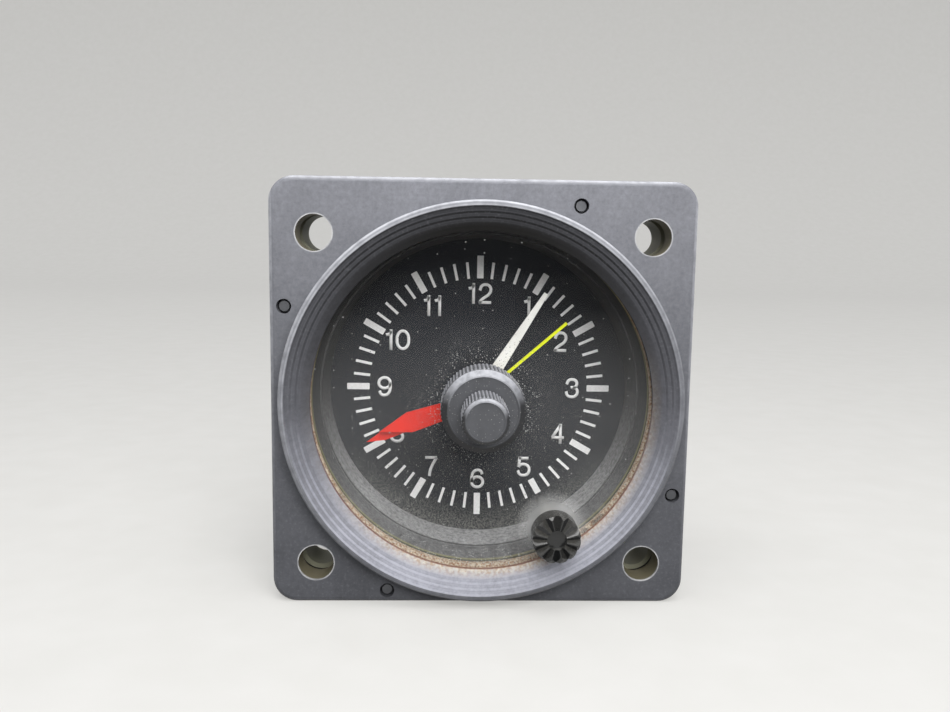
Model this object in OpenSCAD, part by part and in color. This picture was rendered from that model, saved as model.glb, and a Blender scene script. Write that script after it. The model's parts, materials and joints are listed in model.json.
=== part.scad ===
// Panel clock for a round cut-out: centre hands, sweep seconds, two hand-set memory pointers on a
// two-tier centre knob, and a push-and-turn set knob at five o'clock.
// Inside the modules x points right, y up and z forward, out of the panel. face() turns that so that
// y becomes +Z and z becomes -Y. The origin is on the axis, in the plane of the flange's front face.

/* [Flange] */
// Width of metal beside the square of bolt holes
side_land = 6.23; // [5.7:0.01:8]
// Height of metal above the square of bolt holes
top_land = 7.73; // [6.8:0.01:9]
// Height of metal below the square of bolt holes
bottom_land = 5.93; // [5.6:0.01:8]
// Thickness of the bezel flange
flange_t = 5.8; // [5:0.1:8]
// Radius of the flange's corners
corner_r = 3.5; // [2:0.1:5]
// Rounding along the flange's front edge
edge_r = 0.7; // [0.3:0.1:1.2]
// Radius of a panel bolt hole
bolt_hole_r = 2.55; // [1.8:0.05:2.9]
// Metal between the ring and a bolt hole
bolt_land = 2.483; // [2.2:0.001:3]
// Depth of the wider relief at the rear of a bolt hole
relief_h = 1.8; // [1:0.1:3]

/* [Ring] */
// Outer radius of the ring that enters the panel cut-out
ring_r = 28.3; // [25.5:0.1:31.1]
// How far the ring stands out of the flange
ring_h = 2.8; // [2.2:0.1:5]
// Flat width of the ring's rim
rim_w = 0.75; // [0.4:0.05:1]
// Radial width of the ring, from its outside to the viewing aperture
slope_w = 4.15; // [3.7:0.05:4.6]
// Thickness of the lip in front of the lens
lip_t = 0.6; // [0.4:0.05:1]
// Number of turned steps on the ring's slope
step_count = 3; // [2:1:5]
// Share of the slope that is turned in steps
step_share = 0.64; // [0.3:0.02:0.8]

/* [Lens] */
// How far the lens reaches under the lip
lens_lap = 1.65; // [1.4:0.05:1.9]
// Thickness of the lens
lens_t = 2.5; // [1.5:0.1:2.6]
// Height of the lens's front face over the flange's front face
lens_front = 0.3; // [0:0.05:0.6]
// Thickness of the seal behind the lens
lens_gasket_t = 0.8; // [0.4:0.1:1.5]
// Radial width of the seal behind the lens
lens_gasket_w = 1.3; // [0.8:0.1:1.6]

/* [Dial] */
// Depth of the dial's face under the flange's front face
dial_depth = 13.8; // [13:0.1:18]
// Thickness of the dial
dial_t = 0.8; // [0.5:0.1:1.5]
// Radial width of the spacer ring at its front
spacer_front_w = 0.9; // [0.7:0.05:1.2]
// Radial width of the spacer ring at the dial
spacer_rear_w = 2.6; // [2:0.1:3.2]
// Depth of the small step half way down the spacer ring
spacer_step = 0.25; // [0.1:0.05:0.5]
// Clearance hole round the hand tubes
dial_hole_gap = 0.3; // [0.2:0.05:0.6]

/* [Case] */
// Thickness of the case's flange
case_flange_t = 6; // [4:0.1:7]
// Thickness of the seal between bezel and case
case_gasket_t = 0.5; // [0.3:0.1:1]
// Thickness of the case's wall
case_wall = 1.6; // [1.2:0.1:1.8]
// Width of the shoulder that carries the dial
shoulder_w = 1.3; // [1:0.1:1.6]
// Length of the case behind the dial
case_rear_len = 28; // [26:0.5:40]
// Length of the wide part of the case behind the dial
case_wide_len = 2.5; // [2:0.5:8]
// Thickness of the rear cover
cover_t = 2; // [1.5:0.1:3]
// Thickness of the seal under the rear cover
cover_gasket_t = 0.5; // [0.3:0.1:1]

/* [Case screws] */
// Distance from the ring to the middle of a case screw
screw_land = 2.5; // [2.2:0.1:2.8]
// Angle of the first case screw, clockwise from twelve
screw_angle = 25.7; // [24:0.1:27]
// Radius of a case screw's shank
screw_r = 0.95; // [0.8:0.05:1]
// Radius of a case screw's tip
screw_tip_r = 0.72; // [0.5:0.02:0.75]
// How far a case screw's tip stays under the flange's front face
screw_sink = 0.5; // [0.2:0.1:2]
// Radius of a case screw's head
screw_head_r = 1.6; // [1.4:0.1:1.65]
// Height of a case screw's head
screw_head_h = 1.4; // [1:0.1:2]

/* [Cover screws and terminals] */
// Radius of a cover screw's shank
cover_screw_r = 1; // [0.8:0.05:1.2]
// Length of a cover screw's shank
cover_screw_len = 7; // [5:0.5:9]
// Radius of a screw boss inside the case
boss_r = 2.1; // [1.8:0.1:2.3]
// Radius of a terminal stud
stud_r = 1.5; // [1:0.1:1.8]
// Free length of a terminal stud behind its nut
stud_free = 5; // [3:0.5:10]
// Spacing of the terminal studs
stud_pitch = 9; // [8.5:0.5:10]
// Width across flats of a terminal nut
nut_flats = 5.5; // [4.6:0.1:6.4]
// Height of a terminal nut
nut_h = 2.4; // [1.5:0.1:3]
// Radius of a terminal insulator's shoulder
insulator_r = 3.6; // [3.3:0.1:4]
// Thickness of a terminal insulator's shoulder
insulator_t = 1.5; // [1:0.1:2.5]
// Wall of an insulator's neck in the cover
insulator_wall = 0.7; // [0.5:0.1:1]

/* [Memory knobs] */
// Radius of the large knob
large_r = 5.85; // [5:0.05:6.5]
// Height of the large knob
large_h = 5.7; // [4:0.1:7]
// Gap between the lens bush's flange and the large knob
large_gap = 0.2; // [0.2:0.05:0.5]
// Ridges round the large knob
large_ridges = 64; // [40:2:80]
// Radius of the small knob
small_r = 3.13; // [2.8:0.01:3.6]
// Height of the small knob
small_h = 5.8; // [4:0.1:8]
// Gap between the two knobs
knob_gap = 0.6; // [0.3:0.1:1]
// Ridges round the small knob
small_ridges = 38; // [24:2:50]
// Depth of a knob's ridges
ridge_depth = 0.16; // [0.1:0.02:0.25]
// Chamfer at the front of the large knob
large_chamfer = 0.9; // [0.6:0.1:1.2]
// Chamfer at the front of the small knob
small_chamfer = 0.45; // [0.3:0.05:0.7]
// Width of the rim round a knob's face
face_rim = 0.2; // [0.15:0.05:0.4]
// Depth of a knob's face under its rim
face_sink = 0.15; // [0.1:0.05:0.3]
// Radius of the sleeve that carries the front pointer
sleeve_r = 1.9; // [1.8:0.05:2.1]
// Radius of the shaft that carries the rear pointer
shaft_r = 1.15; // [0.9:0.05:1.3]
// Wall of the bush in the lens
bush_wall = 0.65; // [0.5:0.05:0.8]
// Radius of the lens bush's front flange
bush_flange_r = 4; // [3.6:0.1:4.6]
// Thickness of the lens bush's front flange
bush_flange_t = 0.7; // [0.4:0.1:1]
// Thickness of the ring that holds the bush behind the lens
bush_ring_t = 0.35; // [0.2:0.05:0.4]

/* [Memory pointers] */
// Gap between the lens bush and the front pointer
bush_gap = 0.25; // [0.2:0.05:0.5]
// Gap between the two pointers
pointer_gap = 0.4; // [0.3:0.05:0.6]
// Thickness of a pointer
pointer_t = 0.4; // [0.3:0.05:0.4]
// Distance from the front pointer's tip to the spacer ring
front_pointer_short = 7.6; // [6:0.1:10]
// Distance from the rear pointer's tip to the spacer ring
rear_pointer_short = 5.3; // [4:0.1:7]
// Width of the front pointer near its hub
front_pointer_root_w = 2; // [1.6:0.1:2.6]
// Greatest width of the front pointer
front_pointer_w = 3; // [2:0.1:4]
// Length of the front pointer's point
front_pointer_point = 4.7; // [2:0.1:6]
// Width of the rear pointer
rear_pointer_w = 1.4; // [1:0.1:2]
// Length of the rear pointer's point
rear_pointer_point = 2.7; // [1:0.1:4]
// Angle of the front pointer, clockwise from twelve
front_pointer_angle = 251.4; // [0:0.1:360]
// Angle of the rear pointer, clockwise from twelve
rear_pointer_angle = 248.3; // [0:0.1:360]
// Width of metal round a pointer's or hand's tube
hub_w = 1.1; // [0.8:0.1:1.4]

/* [Hands] */
// Gap between the rear pointer and the seconds hand
seconds_gap = 1.875; // [1.4:0.025:2.4]
// Gap between the seconds hand and the minute hand
minute_gap = 1; // [0.7:0.05:1.3]
// Gap between the minute hand and the hour hand
hour_gap = 0.85; // [0.6:0.05:1.2]
// Thickness of a hand
hand_t = 0.35; // [0.25:0.05:0.5]
// Distance from the seconds hand's tip to the spacer ring
seconds_short = 6.5; // [4:0.1:9]
// Width of the seconds hand
seconds_w = 0.42; // [0.36:0.02:0.8]
// Distance from the minute hand's tip to the spacer ring
minute_short = 5.2; // [4:0.1:8]
// Width of the minute hand over its hub
minute_root_w = 2.1; // [1.6:0.1:2.8]
// Width of the minute hand's tip
minute_tip_w = 0.65; // [0.4:0.05:1]
// Distance from the hour hand's tip to the spacer ring
hour_short = 10.7; // [9:0.1:13]
// Width of the hour hand over its hub
hour_root_w = 1.9; // [1.6:0.1:3]
// Width of the hour hand's tip
hour_tip_w = 0.8; // [0.5:0.05:1.2]
// Length of the seconds hand's tail
seconds_tail = 4; // [2:0.1:5]
// Hour that the hour hand has passed
hour_shown = 1; // [0:1:11]
// Angle of the minute hand, clockwise from twelve
minute_angle = 32.22; // [0:0.01:360]
// Angle of the seconds hand, clockwise from twelve
seconds_angle = 48.9; // [0:0.1:360]

/* [Set knob] */
// Distance from the set knob's middle to the viewing aperture
set_inset = 3.25; // [2.9:0.05:3.6]
// Angle of the set knob, clockwise from twelve
set_angle = 150; // [148:0.5:152]
// Radius of the set knob
set_knob_r = 3.35; // [3:0.05:3.4]
// Height of the set knob
set_knob_h = 3.5; // [3:0.1:5]
// Flutes on the set knob
set_flutes = 12; // [8:1:16]
// Depth of a flute at the set knob's rim
set_flute_h = 0.9; // [0.5:0.05:1.1]
// Radius of the recess in the set knob's face
set_recess_r = 1.38; // [1.2:0.02:1.6]
// Depth of the recess in the set knob's face
set_recess_h = 1; // [0.6:0.1:1.5]
// How far the set knob pushes in
set_travel = 1.4; // [1:0.1:1.5]
// Room left under the set knob when it is pushed in
set_room = 0.3; // [0.25:0.05:0.5]
// Radius of the set stem
stem_r = 0.9; // [0.8:0.05:1]
// Radius of the set stem's rear end
stem_tip_r = 0.7; // [0.5:0.05:0.75]
// Wall of the set stem's bush
set_bush_wall = 0.6; // [0.5:0.05:0.8]
// Thickness of the set bush's front flange
set_bush_t = 0.6; // [0.4:0.1:1]
// Thickness of the clip that stops the stem
clip_t = 0.4; // [0.3:0.1:0.8]
// Thickness of the spring's thrust washer
washer_t = 0.35; // [0.25:0.05:0.5]
// Radius of the return spring's wire
spring_wire_r = 0.15; // [0.1:0.01:0.17]
// Turns of the return spring
spring_turns = 4; // [3:1:5]

/* [Movement] */
// Radial room between the movement's two plates and the case
plate_gap = 1.8; // [1.2:0.1:2]
// Thickness of the movement's plates
plate_t = 1.2; // [1:0.1:1.6]
// Room between dial and front plate
motion_room = 5; // [4.8:0.1:7]
// Room between the two plates
train_room = 6.8; // [6.6:0.1:9]
// Room between back plate and circuit board
board_room = 2.3; // [2:0.1:4]
// Thickness of the circuit board
board_t = 1.2; // [0.8:0.1:1.6]
// How much less the circuit board's radius is than the plates'
board_inset = 3.3; // [2.8:0.1:3.4]
// Thickness of the train's wheels
wheel_t = 0.7; // [0.5:0.05:0.8]
// Face width of the train's pinions
pinion_t = 1.3; // [1.1:0.1:1.4]
// Radius of an arbor
arbor_r = 0.5; // [0.4:0.05:0.6]
// Width of the plates' rim outside the motion wheel and the third wheel
train_rim = 4.8; // [4.4:0.1:5]
// How much further out the intermediate wheel sits than the third wheel
inter_more = 0.5; // [0.4:0.1:1]
// How much closer the rotor is to the intermediate wheel than the third wheel to the axis
rotor_less = 2; // [1.8:0.1:2.2]
// Radius of a movement pillar
pillar_r = 1.6; // [1.3:0.1:2]
// Distance of the pillars from the plates' edge
pillar_inset = 5.2; // [5:0.1:5.4]
// Distance of the dial posts from the plates' edge
post_inset = 2.5; // [2:0.1:3.5]
// How much less the rotor magnet's diameter is than the third wheel's distance from the axis
magnet_less = 5; // [4.6:0.1:5.4]
// Length of the rotor's magnet
magnet_h = 2.6; // [2:0.1:2.8]
// Gap between rotor and stator
magnet_gap = 0.4; // [0.3:0.05:0.6]
// Thickness of the stator plate
stator_t = 0.8; // [0.5:0.1:1]
// Radius of the coil
coil_r = 2.1; // [1.6:0.1:2.2]
// How much less the coil's length is than the plates' radius
coil_less = 12.8; // [12.3:0.1:14.8]
// Width of the stator's iron round the rotor
bridge_w = 1.4; // [1:0.1:1.6]

/* [Teeth] */
// Share of the pitch that a tooth fills at the pitch circle
tooth_share = 0.44; // [0.4:0.01:0.46]
// Tooth height over the pitch circle, in modules
tooth_tip = 0.6; // [0.5:0.02:0.62]
// Tooth depth under the pitch circle, in modules
tooth_root = 0.95; // [0.9:0.05:1.1]
// Pressure angle of the teeth
pressure_deg = 20; // [20:0.5:22]
// Teeth of the rotor's, intermediate, seconds and third pinions
small_teeth = 10; // [10:1:12]
// Teeth of the intermediate wheel
inter_teeth = 60; // [50:1:70]
// Teeth of the seconds wheel
seconds_teeth = 50; // [45:1:55]
// Teeth of the third wheel
third_teeth = 80; // [72:1:84]
// Teeth of the centre wheel
centre_teeth = 75; // [70:1:80]
// Teeth of the cannon pinion, the motion pinion and the set pinion
motion_small_teeth = 12; // [12:1:13]
// Teeth of the motion wheel
motion_teeth = 36; // [34:1:38]
// Teeth of the hour wheel
hour_teeth = 48; // [46:1:50]
// Teeth of the set wheel
set_teeth = 20; // [19:1:21]

/* [Fits] */
// Radial clearance of lens, spacer ring and dial in their seats
seat_gap = 0.1; // [0.05:0.05:0.2]
// Radial clearance of a shaft that turns in a hole
run_gap = 0.05; // [0.02:0.01:0.08]
// Radial clearance of a piece that is pressed or riveted in place
snug_gap = 0.02; // [0.01:0.01:0.04]
// Radial clearance of a screw in its hole
screw_gap = 0.1; // [0.05:0.05:0.2]
// End gap between pieces that turn side by side
end_gap = 0.3; // [0.2:0.05:0.35]

/* [Hidden] */
$fn = 72;
// Cuts run this far past the faces that they open
over = 1;
full_turn = 360;
hour_step = full_turn / 12;

// Radii and outline that follow from the ring
aperture_r = ring_r - slope_w;
lens_r = aperture_r + lens_lap;
spacer_front_r = lens_r - spacer_front_w;
spacer_rear_r = lens_r - spacer_rear_w;
screw_circle_r = ring_r + screw_land;
bolt_square = sqrt(2) * (ring_r + bolt_land + bolt_hole_r);
flange_w = bolt_square + 2 * side_land;
flange_h = bolt_square + top_land + bottom_land;
flange_rise = (top_land - bottom_land) / 2;
set_r = aperture_r - set_inset;

// Seats and depths along the axis, forward positive
seat_r = lens_r + seat_gap;
lens_rear = lens_front - lens_t;
lip_front = lens_front + lip_t;
spacer_front = lens_rear - lens_gasket_t;
dial_front = -dial_depth;
dial_rear = dial_front - dial_t;
spacer_mid = (spacer_front + dial_front) / 2;
flange_rear = -flange_t;
case_front = flange_rear - case_gasket_t;
case_flange_rear = case_front - case_flange_t;
case_end = dial_rear - case_rear_len;
case_wide_end = dial_rear - case_wide_len;
cover_front = case_end - cover_gasket_t;
cover_rear = cover_front - cover_t;

// Case radii
case_r = seat_r + case_wall;
case_bore_r = seat_r - shoulder_w;
case_rear_r = case_bore_r + case_wall;
boss_blend = 0.2;
boss_floor = 1.5;
boss_reach = case_bore_r - boss_r + boss_blend;
boss_len = cover_screw_len + boss_floor;
boss_angle = 45;
screw_hole_r = screw_r + screw_gap;
bolt_relief = 0.7;

// Steps on the ring's slope
rim_chamfer = 0.25;
slope_outer_r = ring_r - rim_w;
step_w = (slope_outer_r - aperture_r) * step_share / step_count;
steps_inner_r = slope_outer_r - step_count * step_w;
slope_rise = (ring_h - lip_front) / (slope_outer_r - aperture_r);
tread_share = 0.65;
tread_rise_share = 0.45;

// Memory knob stack
bush_front = lens_front + bush_flange_t;
bush_bore_r = sleeve_r + run_gap;
bush_r = bush_bore_r + bush_wall;
bush_rear = lens_rear - bush_ring_t;
bush_ring_w = 0.9;
bush_ring_r = bush_r + bush_ring_w;
large_base = bush_front + large_gap;
large_top = large_base + large_h;
small_base = large_top + knob_gap;
small_top = small_base + small_h;
sleeve_bore_r = shaft_r + run_gap;
knob_cap_t = 1;
front_pointer_z = bush_rear - bush_gap - pointer_t / 2;
rear_pointer_z = front_pointer_z - pointer_t - pointer_gap;

// Mid-planes of the hands, each behind the one before it
seconds_z = rear_pointer_z - (pointer_t + hand_t) / 2 - seconds_gap;
minute_z = seconds_z - hand_t - minute_gap;
hour_z = minute_z - hand_t - hour_gap;

// Lengths of pointers and hands, axis to tip
front_pointer_len = spacer_rear_r - front_pointer_short;
rear_pointer_len = spacer_rear_r - rear_pointer_short;
seconds_len = spacer_rear_r - seconds_short;
minute_len = spacer_rear_r - minute_short;
hour_len = spacer_rear_r - hour_short;

// Radii and reaches of the movement
plate_r = case_bore_r - plate_gap;
board_r = plate_r - board_inset;
pillar_reach = plate_r - pillar_inset;
post_reach = plate_r - post_inset;
train_reach = (plate_r - train_rim) / 2;
inter_reach = train_reach + inter_more;
rotor_reach = train_reach - rotor_less;
magnet_r = (train_reach - magnet_less) / 2;
coil_len = plate_r - coil_less;

// Movement levels
plate_front = dial_rear - motion_room;
plate_rear = plate_front - plate_t;
back_front = plate_rear - train_room;
back_rear = back_front - plate_t;
board_front = back_rear - board_room;
board_rear = board_front - board_t;
pivot_sink = 0.3;
tube_end = 0.3;
beside = (pinion_t + wheel_t) / 2 + end_gap;
centre_level = plate_rear - end_gap - pinion_t / 2;
third_level = centre_level - beside - tube_end;
seconds_level = third_level - beside;
inter_level = seconds_level - beside;
magnet_level = inter_level + wheel_t / 2 + end_gap + magnet_h / 2;

// Motion work levels
motion_level = plate_front + end_gap + wheel_t / 2;
cannon_rear = plate_front + end_gap / 2;
hour_level = cannon_rear + pinion_t + end_gap + wheel_t / 2;
set_gap = 0.3;
pinion_rear = motion_level + wheel_t / 2 + set_gap + set_travel;
pinion_front = pinion_rear + pinion_t;
washer_front = pinion_rear - run_gap;
washer_rear = washer_front - washer_t;

// Hand tubes, one inside the other
tube_wall = 0.45;
tube_tip = 0.2;
centre_tube_bore_r = arbor_r + run_gap;
centre_tube_r = centre_tube_bore_r + tube_wall;
centre_tube_reach = 3;
cannon_bore_r = centre_tube_r + run_gap;
cannon_r = cannon_bore_r + tube_wall;
hour_bore_r = cannon_r + run_gap;
hour_tube_r = hour_bore_r + tube_wall;
dial_hole_r = hour_tube_r + dial_hole_gap;
hour_angle = hour_step * (hour_shown + minute_angle / full_turn);

// Places of the arbors
motion_angle = 180;
third_angle = 270;
inter_angle = 60;
rotor_angle = 140;
function clock_xy(reach, turn) = [reach * sin(turn), reach * cos(turn)];
function bearing(a, b) = atan2(b.y - a.y, b.x - a.x);
axis_xy = [0, 0];
stem_xy = clock_xy(set_r, set_angle);
motion_xy = clock_xy(train_reach, motion_angle);
third_xy = clock_xy(train_reach, third_angle);
inter_xy = clock_xy(inter_reach, inter_angle);
rotor_xy = inter_xy + clock_xy(rotor_reach, rotor_angle);

// Modules of the gear pairs, from their centre distances
function pair_module(reach, teeth_a, teeth_b) = 2 * reach / (teeth_a + teeth_b);
third_module = pair_module(train_reach, small_teeth, third_teeth);
centre_module = pair_module(train_reach, small_teeth, centre_teeth);
seconds_module = pair_module(inter_reach, small_teeth, seconds_teeth);
inter_module = pair_module(rotor_reach, small_teeth, inter_teeth);
motion_module = pair_module(train_reach, motion_small_teeth, motion_teeth);
hour_module = pair_module(train_reach, motion_small_teeth, hour_teeth);

// Apex of a triangle on the left of a to b, with its distances from a and from b
function apex(a, b, from_a, from_b) =
    let (d = norm(b - a), u = (b - a) / d)
    let (along = (from_a * from_a - from_b * from_b + d * d) / (2 * d))
    let (off = sqrt(from_a * from_a - along * along))
    a + along * u + off * [-u.y, u.x];
set_xy = apex(motion_xy, stem_xy, motion_module * (motion_teeth + set_teeth) / 2,
              motion_module * (set_teeth + motion_small_teeth) / 2);

// Turn of gear b that sets a space of b on a tooth of a, along the line from a to b
function mesh_turn(line, turn_a, teeth_a, teeth_b) =
    line + 180 + 360 / teeth_b * ((line - turn_a) * teeth_a / 360 + 0.5);
third_wheel_turn = mesh_turn(bearing(axis_xy, third_xy), 0, small_teeth, third_teeth);
centre_wheel_turn = mesh_turn(bearing(third_xy, axis_xy), 0, small_teeth, centre_teeth);
inter_pinion_turn = mesh_turn(bearing(axis_xy, inter_xy), 0, seconds_teeth, small_teeth);
rotor_pinion_turn = mesh_turn(bearing(inter_xy, rotor_xy), 0, inter_teeth, small_teeth);
motion_wheel_turn = mesh_turn(bearing(axis_xy, motion_xy), 0, motion_small_teeth, motion_teeth);
hour_wheel_turn = mesh_turn(bearing(motion_xy, axis_xy), 0, motion_small_teeth, hour_teeth);
set_wheel_turn = mesh_turn(bearing(motion_xy, set_xy), motion_wheel_turn, motion_teeth, set_teeth);
set_pinion_turn = mesh_turn(bearing(set_xy, stem_xy), set_wheel_turn, set_teeth, motion_small_teeth);

// Involute tooth outline: half of a tooth's angle at radius r, with the flank radial under the base circle
function involute(a) = tan(a) * 180 / PI - a;
function half_tooth(r, pitch_r, teeth) =
    let (base = pitch_r * cos(pressure_deg))
    180 * tooth_share / teeth + involute(pressure_deg) - involute(r > base ? acos(base / r) : 0);
function polar(r, a) = [r * cos(a), r * sin(a)];
function gear_points(teeth, size) =
    let (pitch_r = teeth * size / 2)
    let (flank = [pitch_r - tooth_root * size, pitch_r, pitch_r + tooth_tip * size])
    [for (i = [0 : teeth - 1]) for (side = [-1, 1]) for (k = [0 : 2])
        let (r = flank[side < 0 ? k : 2 - k])
        polar(r, 360 * i / teeth + side * half_tooth(r, pitch_r, teeth))];

// Turns the clock's own face frame into the part's frame
module face() {
    rotate([90, 0, 0]) children();
}

// Upright disc and ring between two depths
module disc(r, z0, z1) {
    translate([0, 0, z0]) cylinder(r = r, h = z1 - z0);
}

module ring(r_in, r_out, z0, z1) {
    rotate_extrude() translate([r_in, z0]) square([r_out - r_in, z1 - z0]);
}

// Copies at equal angles, clockwise from twelve
module around(reach, count, first) {
    for (i = [0 : count - 1]) translate(clock_xy(reach, first + full_turn * i / count)) children();
}

module at_bolts() {
    for (sx = [-1, 1]) for (sy = [-1, 1]) translate([sx, sy, 0] * bolt_square / 2) children();
}

// Plate with the flange's outline between two depths
module flange_block(z0, z1) {
    translate([0, flange_rise, (z0 + z1) / 2]) {
        cube([flange_w - 2 * corner_r, flange_h, z1 - z0], center = true);
        cube([flange_w, flange_h - 2 * corner_r, z1 - z0], center = true);
        for (sx = [-1, 1]) for (sy = [-1, 1])
            translate([sx * (flange_w / 2 - corner_r), sy * (flange_h / 2 - corner_r), 0])
                cylinder(r = corner_r, h = z1 - z0, center = true);
    }
}

// Rounded front edge: the half section of a plate from its middle to its edge at reach
function edge_arc(reach) =
    [for (a = [0 : 30 : 90]) [reach - edge_r + edge_r * cos(a), edge_r * (sin(a) - 1)]];
function plate_section(reach) = concat([[0, flange_rear], [reach, flange_rear]], edge_arc(reach), [[0, 0]]);
function flip(points) = [for (i = [len(points) - 1 : -1 : 0]) [-points[i].x, points[i].y]];
function bar_section(reach) =
    concat([[-reach, flange_rear], [reach, flange_rear]], edge_arc(reach), flip(edge_arc(reach)));

module rounded_flange() {
    translate([0, flange_rise, 0]) {
        rotate([90, 0, 90]) linear_extrude(flange_w - 2 * corner_r, center = true)
            polygon(bar_section(flange_h / 2));
        rotate([90, 0, 0]) linear_extrude(flange_h - 2 * corner_r, center = true)
            polygon(bar_section(flange_w / 2));
        for (sx = [-1, 1]) for (sy = [-1, 1])
            translate([sx * (flange_w / 2 - corner_r), sy * (flange_h / 2 - corner_r), 0])
                rotate_extrude() polygon(plate_section(corner_r));
    }
}

// Section of what is cut out of the bezel: lens seat, lip, plain slope, turned steps and rim
function slope_z(r) = lip_front + (r - aperture_r) * slope_rise;
function step_points() = [for (i = [0 : step_count - 1]) for (k = [0, 1])
    let (r = steps_inner_r + i * step_w)
    k == 0 ? [r, slope_z(r)]
           : [r + tread_share * step_w, slope_z(r) + tread_rise_share * slope_rise * step_w]];
function bezel_cut() = concat(
    [[0, flange_rear - over], [seat_r, flange_rear - over], [seat_r, lens_front], [aperture_r, lens_front],
     [aperture_r, lip_front]], step_points(),
    [[slope_outer_r, ring_h], [slope_outer_r, ring_h + over], [0, ring_h + over]]);

module bezel_flange() {
    color("#5c5d61") face() difference() {
        union() {
            rounded_flange();
            rotate_extrude() polygon([[0, flange_rear], [ring_r, flange_rear], [ring_r, ring_h - rim_chamfer],
                                      [ring_r - rim_chamfer, ring_h], [0, ring_h]]);
        }
        rotate_extrude() polygon(bezel_cut());
        at_bolts() {
            disc(bolt_hole_r, flange_rear - over, over);
            disc(bolt_hole_r + bolt_relief, flange_rear - over, flange_rear + relief_h);
        }
        around(screw_circle_r, 4, screw_angle) disc(screw_hole_r, flange_rear - over, over);
    }
}

module lens() {
    color("#dfe6ea", 0.35) face() difference() {
        disc(lens_r, lens_rear, lens_front);
        disc(bush_r + snug_gap, lens_rear - over, lens_front + over);
        translate(stem_xy) disc(set_bush_r + snug_gap, lens_rear - over, lens_front + over);
    }
}

module lens_gasket() {
    color("#8a5a34") face() ring(lens_r - lens_gasket_w, lens_r, spacer_front, lens_rear);
}

// Tapered spacer between the lens and the dial, with one small step on its inner wall
module dial_ring() {
    mid_r = (spacer_front_r + spacer_rear_r) / 2;
    color("#3a3b3d") face() rotate_extrude() polygon([[lens_r, dial_front], [lens_r, spacer_front],
        [spacer_front_r, spacer_front], [mid_r, spacer_mid], [mid_r - spacer_step, spacer_mid],
        [spacer_rear_r, dial_front]]);
}

module dial() {
    color("#1f2024") face() difference() {
        disc(lens_r, dial_rear, dial_front);
        disc(dial_hole_r, dial_rear - over, dial_front + over);
        translate(stem_xy) disc(stem_r + run_gap, dial_rear - over, dial_front + over);
    }
}

// Turned can with a square flange, a shoulder for the dial and four screw bosses at its open rear
module case() {
    color("#4a4b4e") face() difference() {
        union() {
            difference() {
                union() {
                    flange_block(case_flange_rear, case_front);
                    rotate_extrude() polygon([[0, case_end], [case_rear_r, case_end],
                        [case_rear_r, case_wide_end - case_wall], [case_r, case_wide_end],
                        [case_r, case_front], [0, case_front]]);
                }
                disc(case_bore_r, case_end - over, dial_rear + over);
                disc(seat_r, dial_rear, case_front + over);
            }
            around(boss_reach, 4, boss_angle) disc(boss_r, case_end, case_end + boss_len);
        }
        at_bolts() disc(bolt_hole_r, case_flange_rear - over, case_front + over);
        around(screw_circle_r, 4, screw_angle) disc(screw_hole_r, case_flange_rear - over, case_front + over);
        around(boss_reach, 4, boss_angle)
            disc(cover_screw_r + screw_gap, case_end - over, case_end + cover_screw_len);
    }
}

module case_gasket() {
    color("#262626") face() difference() {
        flange_block(case_front, flange_rear);
        disc(seat_r, case_front - over, flange_rear + over);
        at_bolts() disc(bolt_hole_r + bolt_relief, case_front - over, flange_rear + over);
        around(screw_circle_r, 4, screw_angle) disc(screw_hole_r, case_front - over, flange_rear + over);
    }
}

// Slotted screw from its head's outer face at z = 0, with the shank in front
module slotted_screw(head_r, head_h, shank_r, shank_h) {
    slot_w_share = 0.3;
    slot_h_share = 0.4;
    slot_w = head_r * slot_w_share;
    slot_h = head_h * slot_h_share;
    difference() {
        disc(head_r, 0, head_h);
        translate([0, 0, slot_h - over]) cube([3 * head_r, slot_w, 2 * over], center = true);
    }
    disc(shank_r, head_h, head_h + shank_h);
}

module case_screws() {
    tip_h = 1.2;
    shank_h = -screw_sink - tip_h - case_flange_rear;
    color("#2c2c2e") face() around(screw_circle_r, 4, screw_angle) {
        translate([0, 0, case_flange_rear - screw_head_h])
            slotted_screw(screw_head_r, screw_head_h, screw_r, shank_h);
        disc(screw_tip_r, -screw_sink - tip_h, -screw_sink);
    }
}

module at_terminals() {
    for (i = [-1, 0, 1]) translate([i * stud_pitch, 0, 0]) children();
}

module rear_cover() {
    color("#4a4b4e") face() difference() {
        disc(case_rear_r, cover_rear, cover_front);
        around(boss_reach, 4, boss_angle)
            disc(cover_screw_r + screw_gap, cover_rear - over, cover_front + over);
        at_terminals() disc(insulator_neck_r + snug_gap, cover_rear - over, cover_front + over);
    }
}

module cover_gasket() {
    color("#262626") face() ring(case_bore_r, case_rear_r, cover_front, case_end);
}

module cover_screws() {
    head_h = 1.3;
    end_room = 1;
    shank_h = cover_t + cover_screw_len - end_room;
    color("#2c2c2e") face() around(boss_reach, 4, boss_angle) translate([0, 0, cover_rear - head_h])
        slotted_screw(boss_r - boss_blend, head_h, cover_screw_r, shank_h);
}

// Terminal: a stud in an insulator, held by a nut on each side of the cover
insulator_neck_r = stud_r + snug_gap + insulator_wall;
insulator_rear = cover_rear - insulator_t;
nut_rear = insulator_rear - nut_h;
stud_rear = nut_rear - stud_free;
inner_nut_front = cover_front + insulator_t + nut_h;
stud_tip = 1;
stud_front = inner_nut_front + stud_tip;

module terminal_studs() {
    color("#b79a52") face() at_terminals() disc(stud_r, stud_rear, stud_front);
}

module terminal_insulators() {
    color("#3b2c22") face() at_terminals() difference() {
        union() {
            disc(insulator_r, insulator_rear, cover_rear);
            disc(insulator_neck_r, cover_rear, cover_front);
            disc(insulator_r, cover_front, cover_front + insulator_t);
        }
        disc(stud_r + snug_gap, insulator_rear - over, cover_front + insulator_t + over);
    }
}

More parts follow.
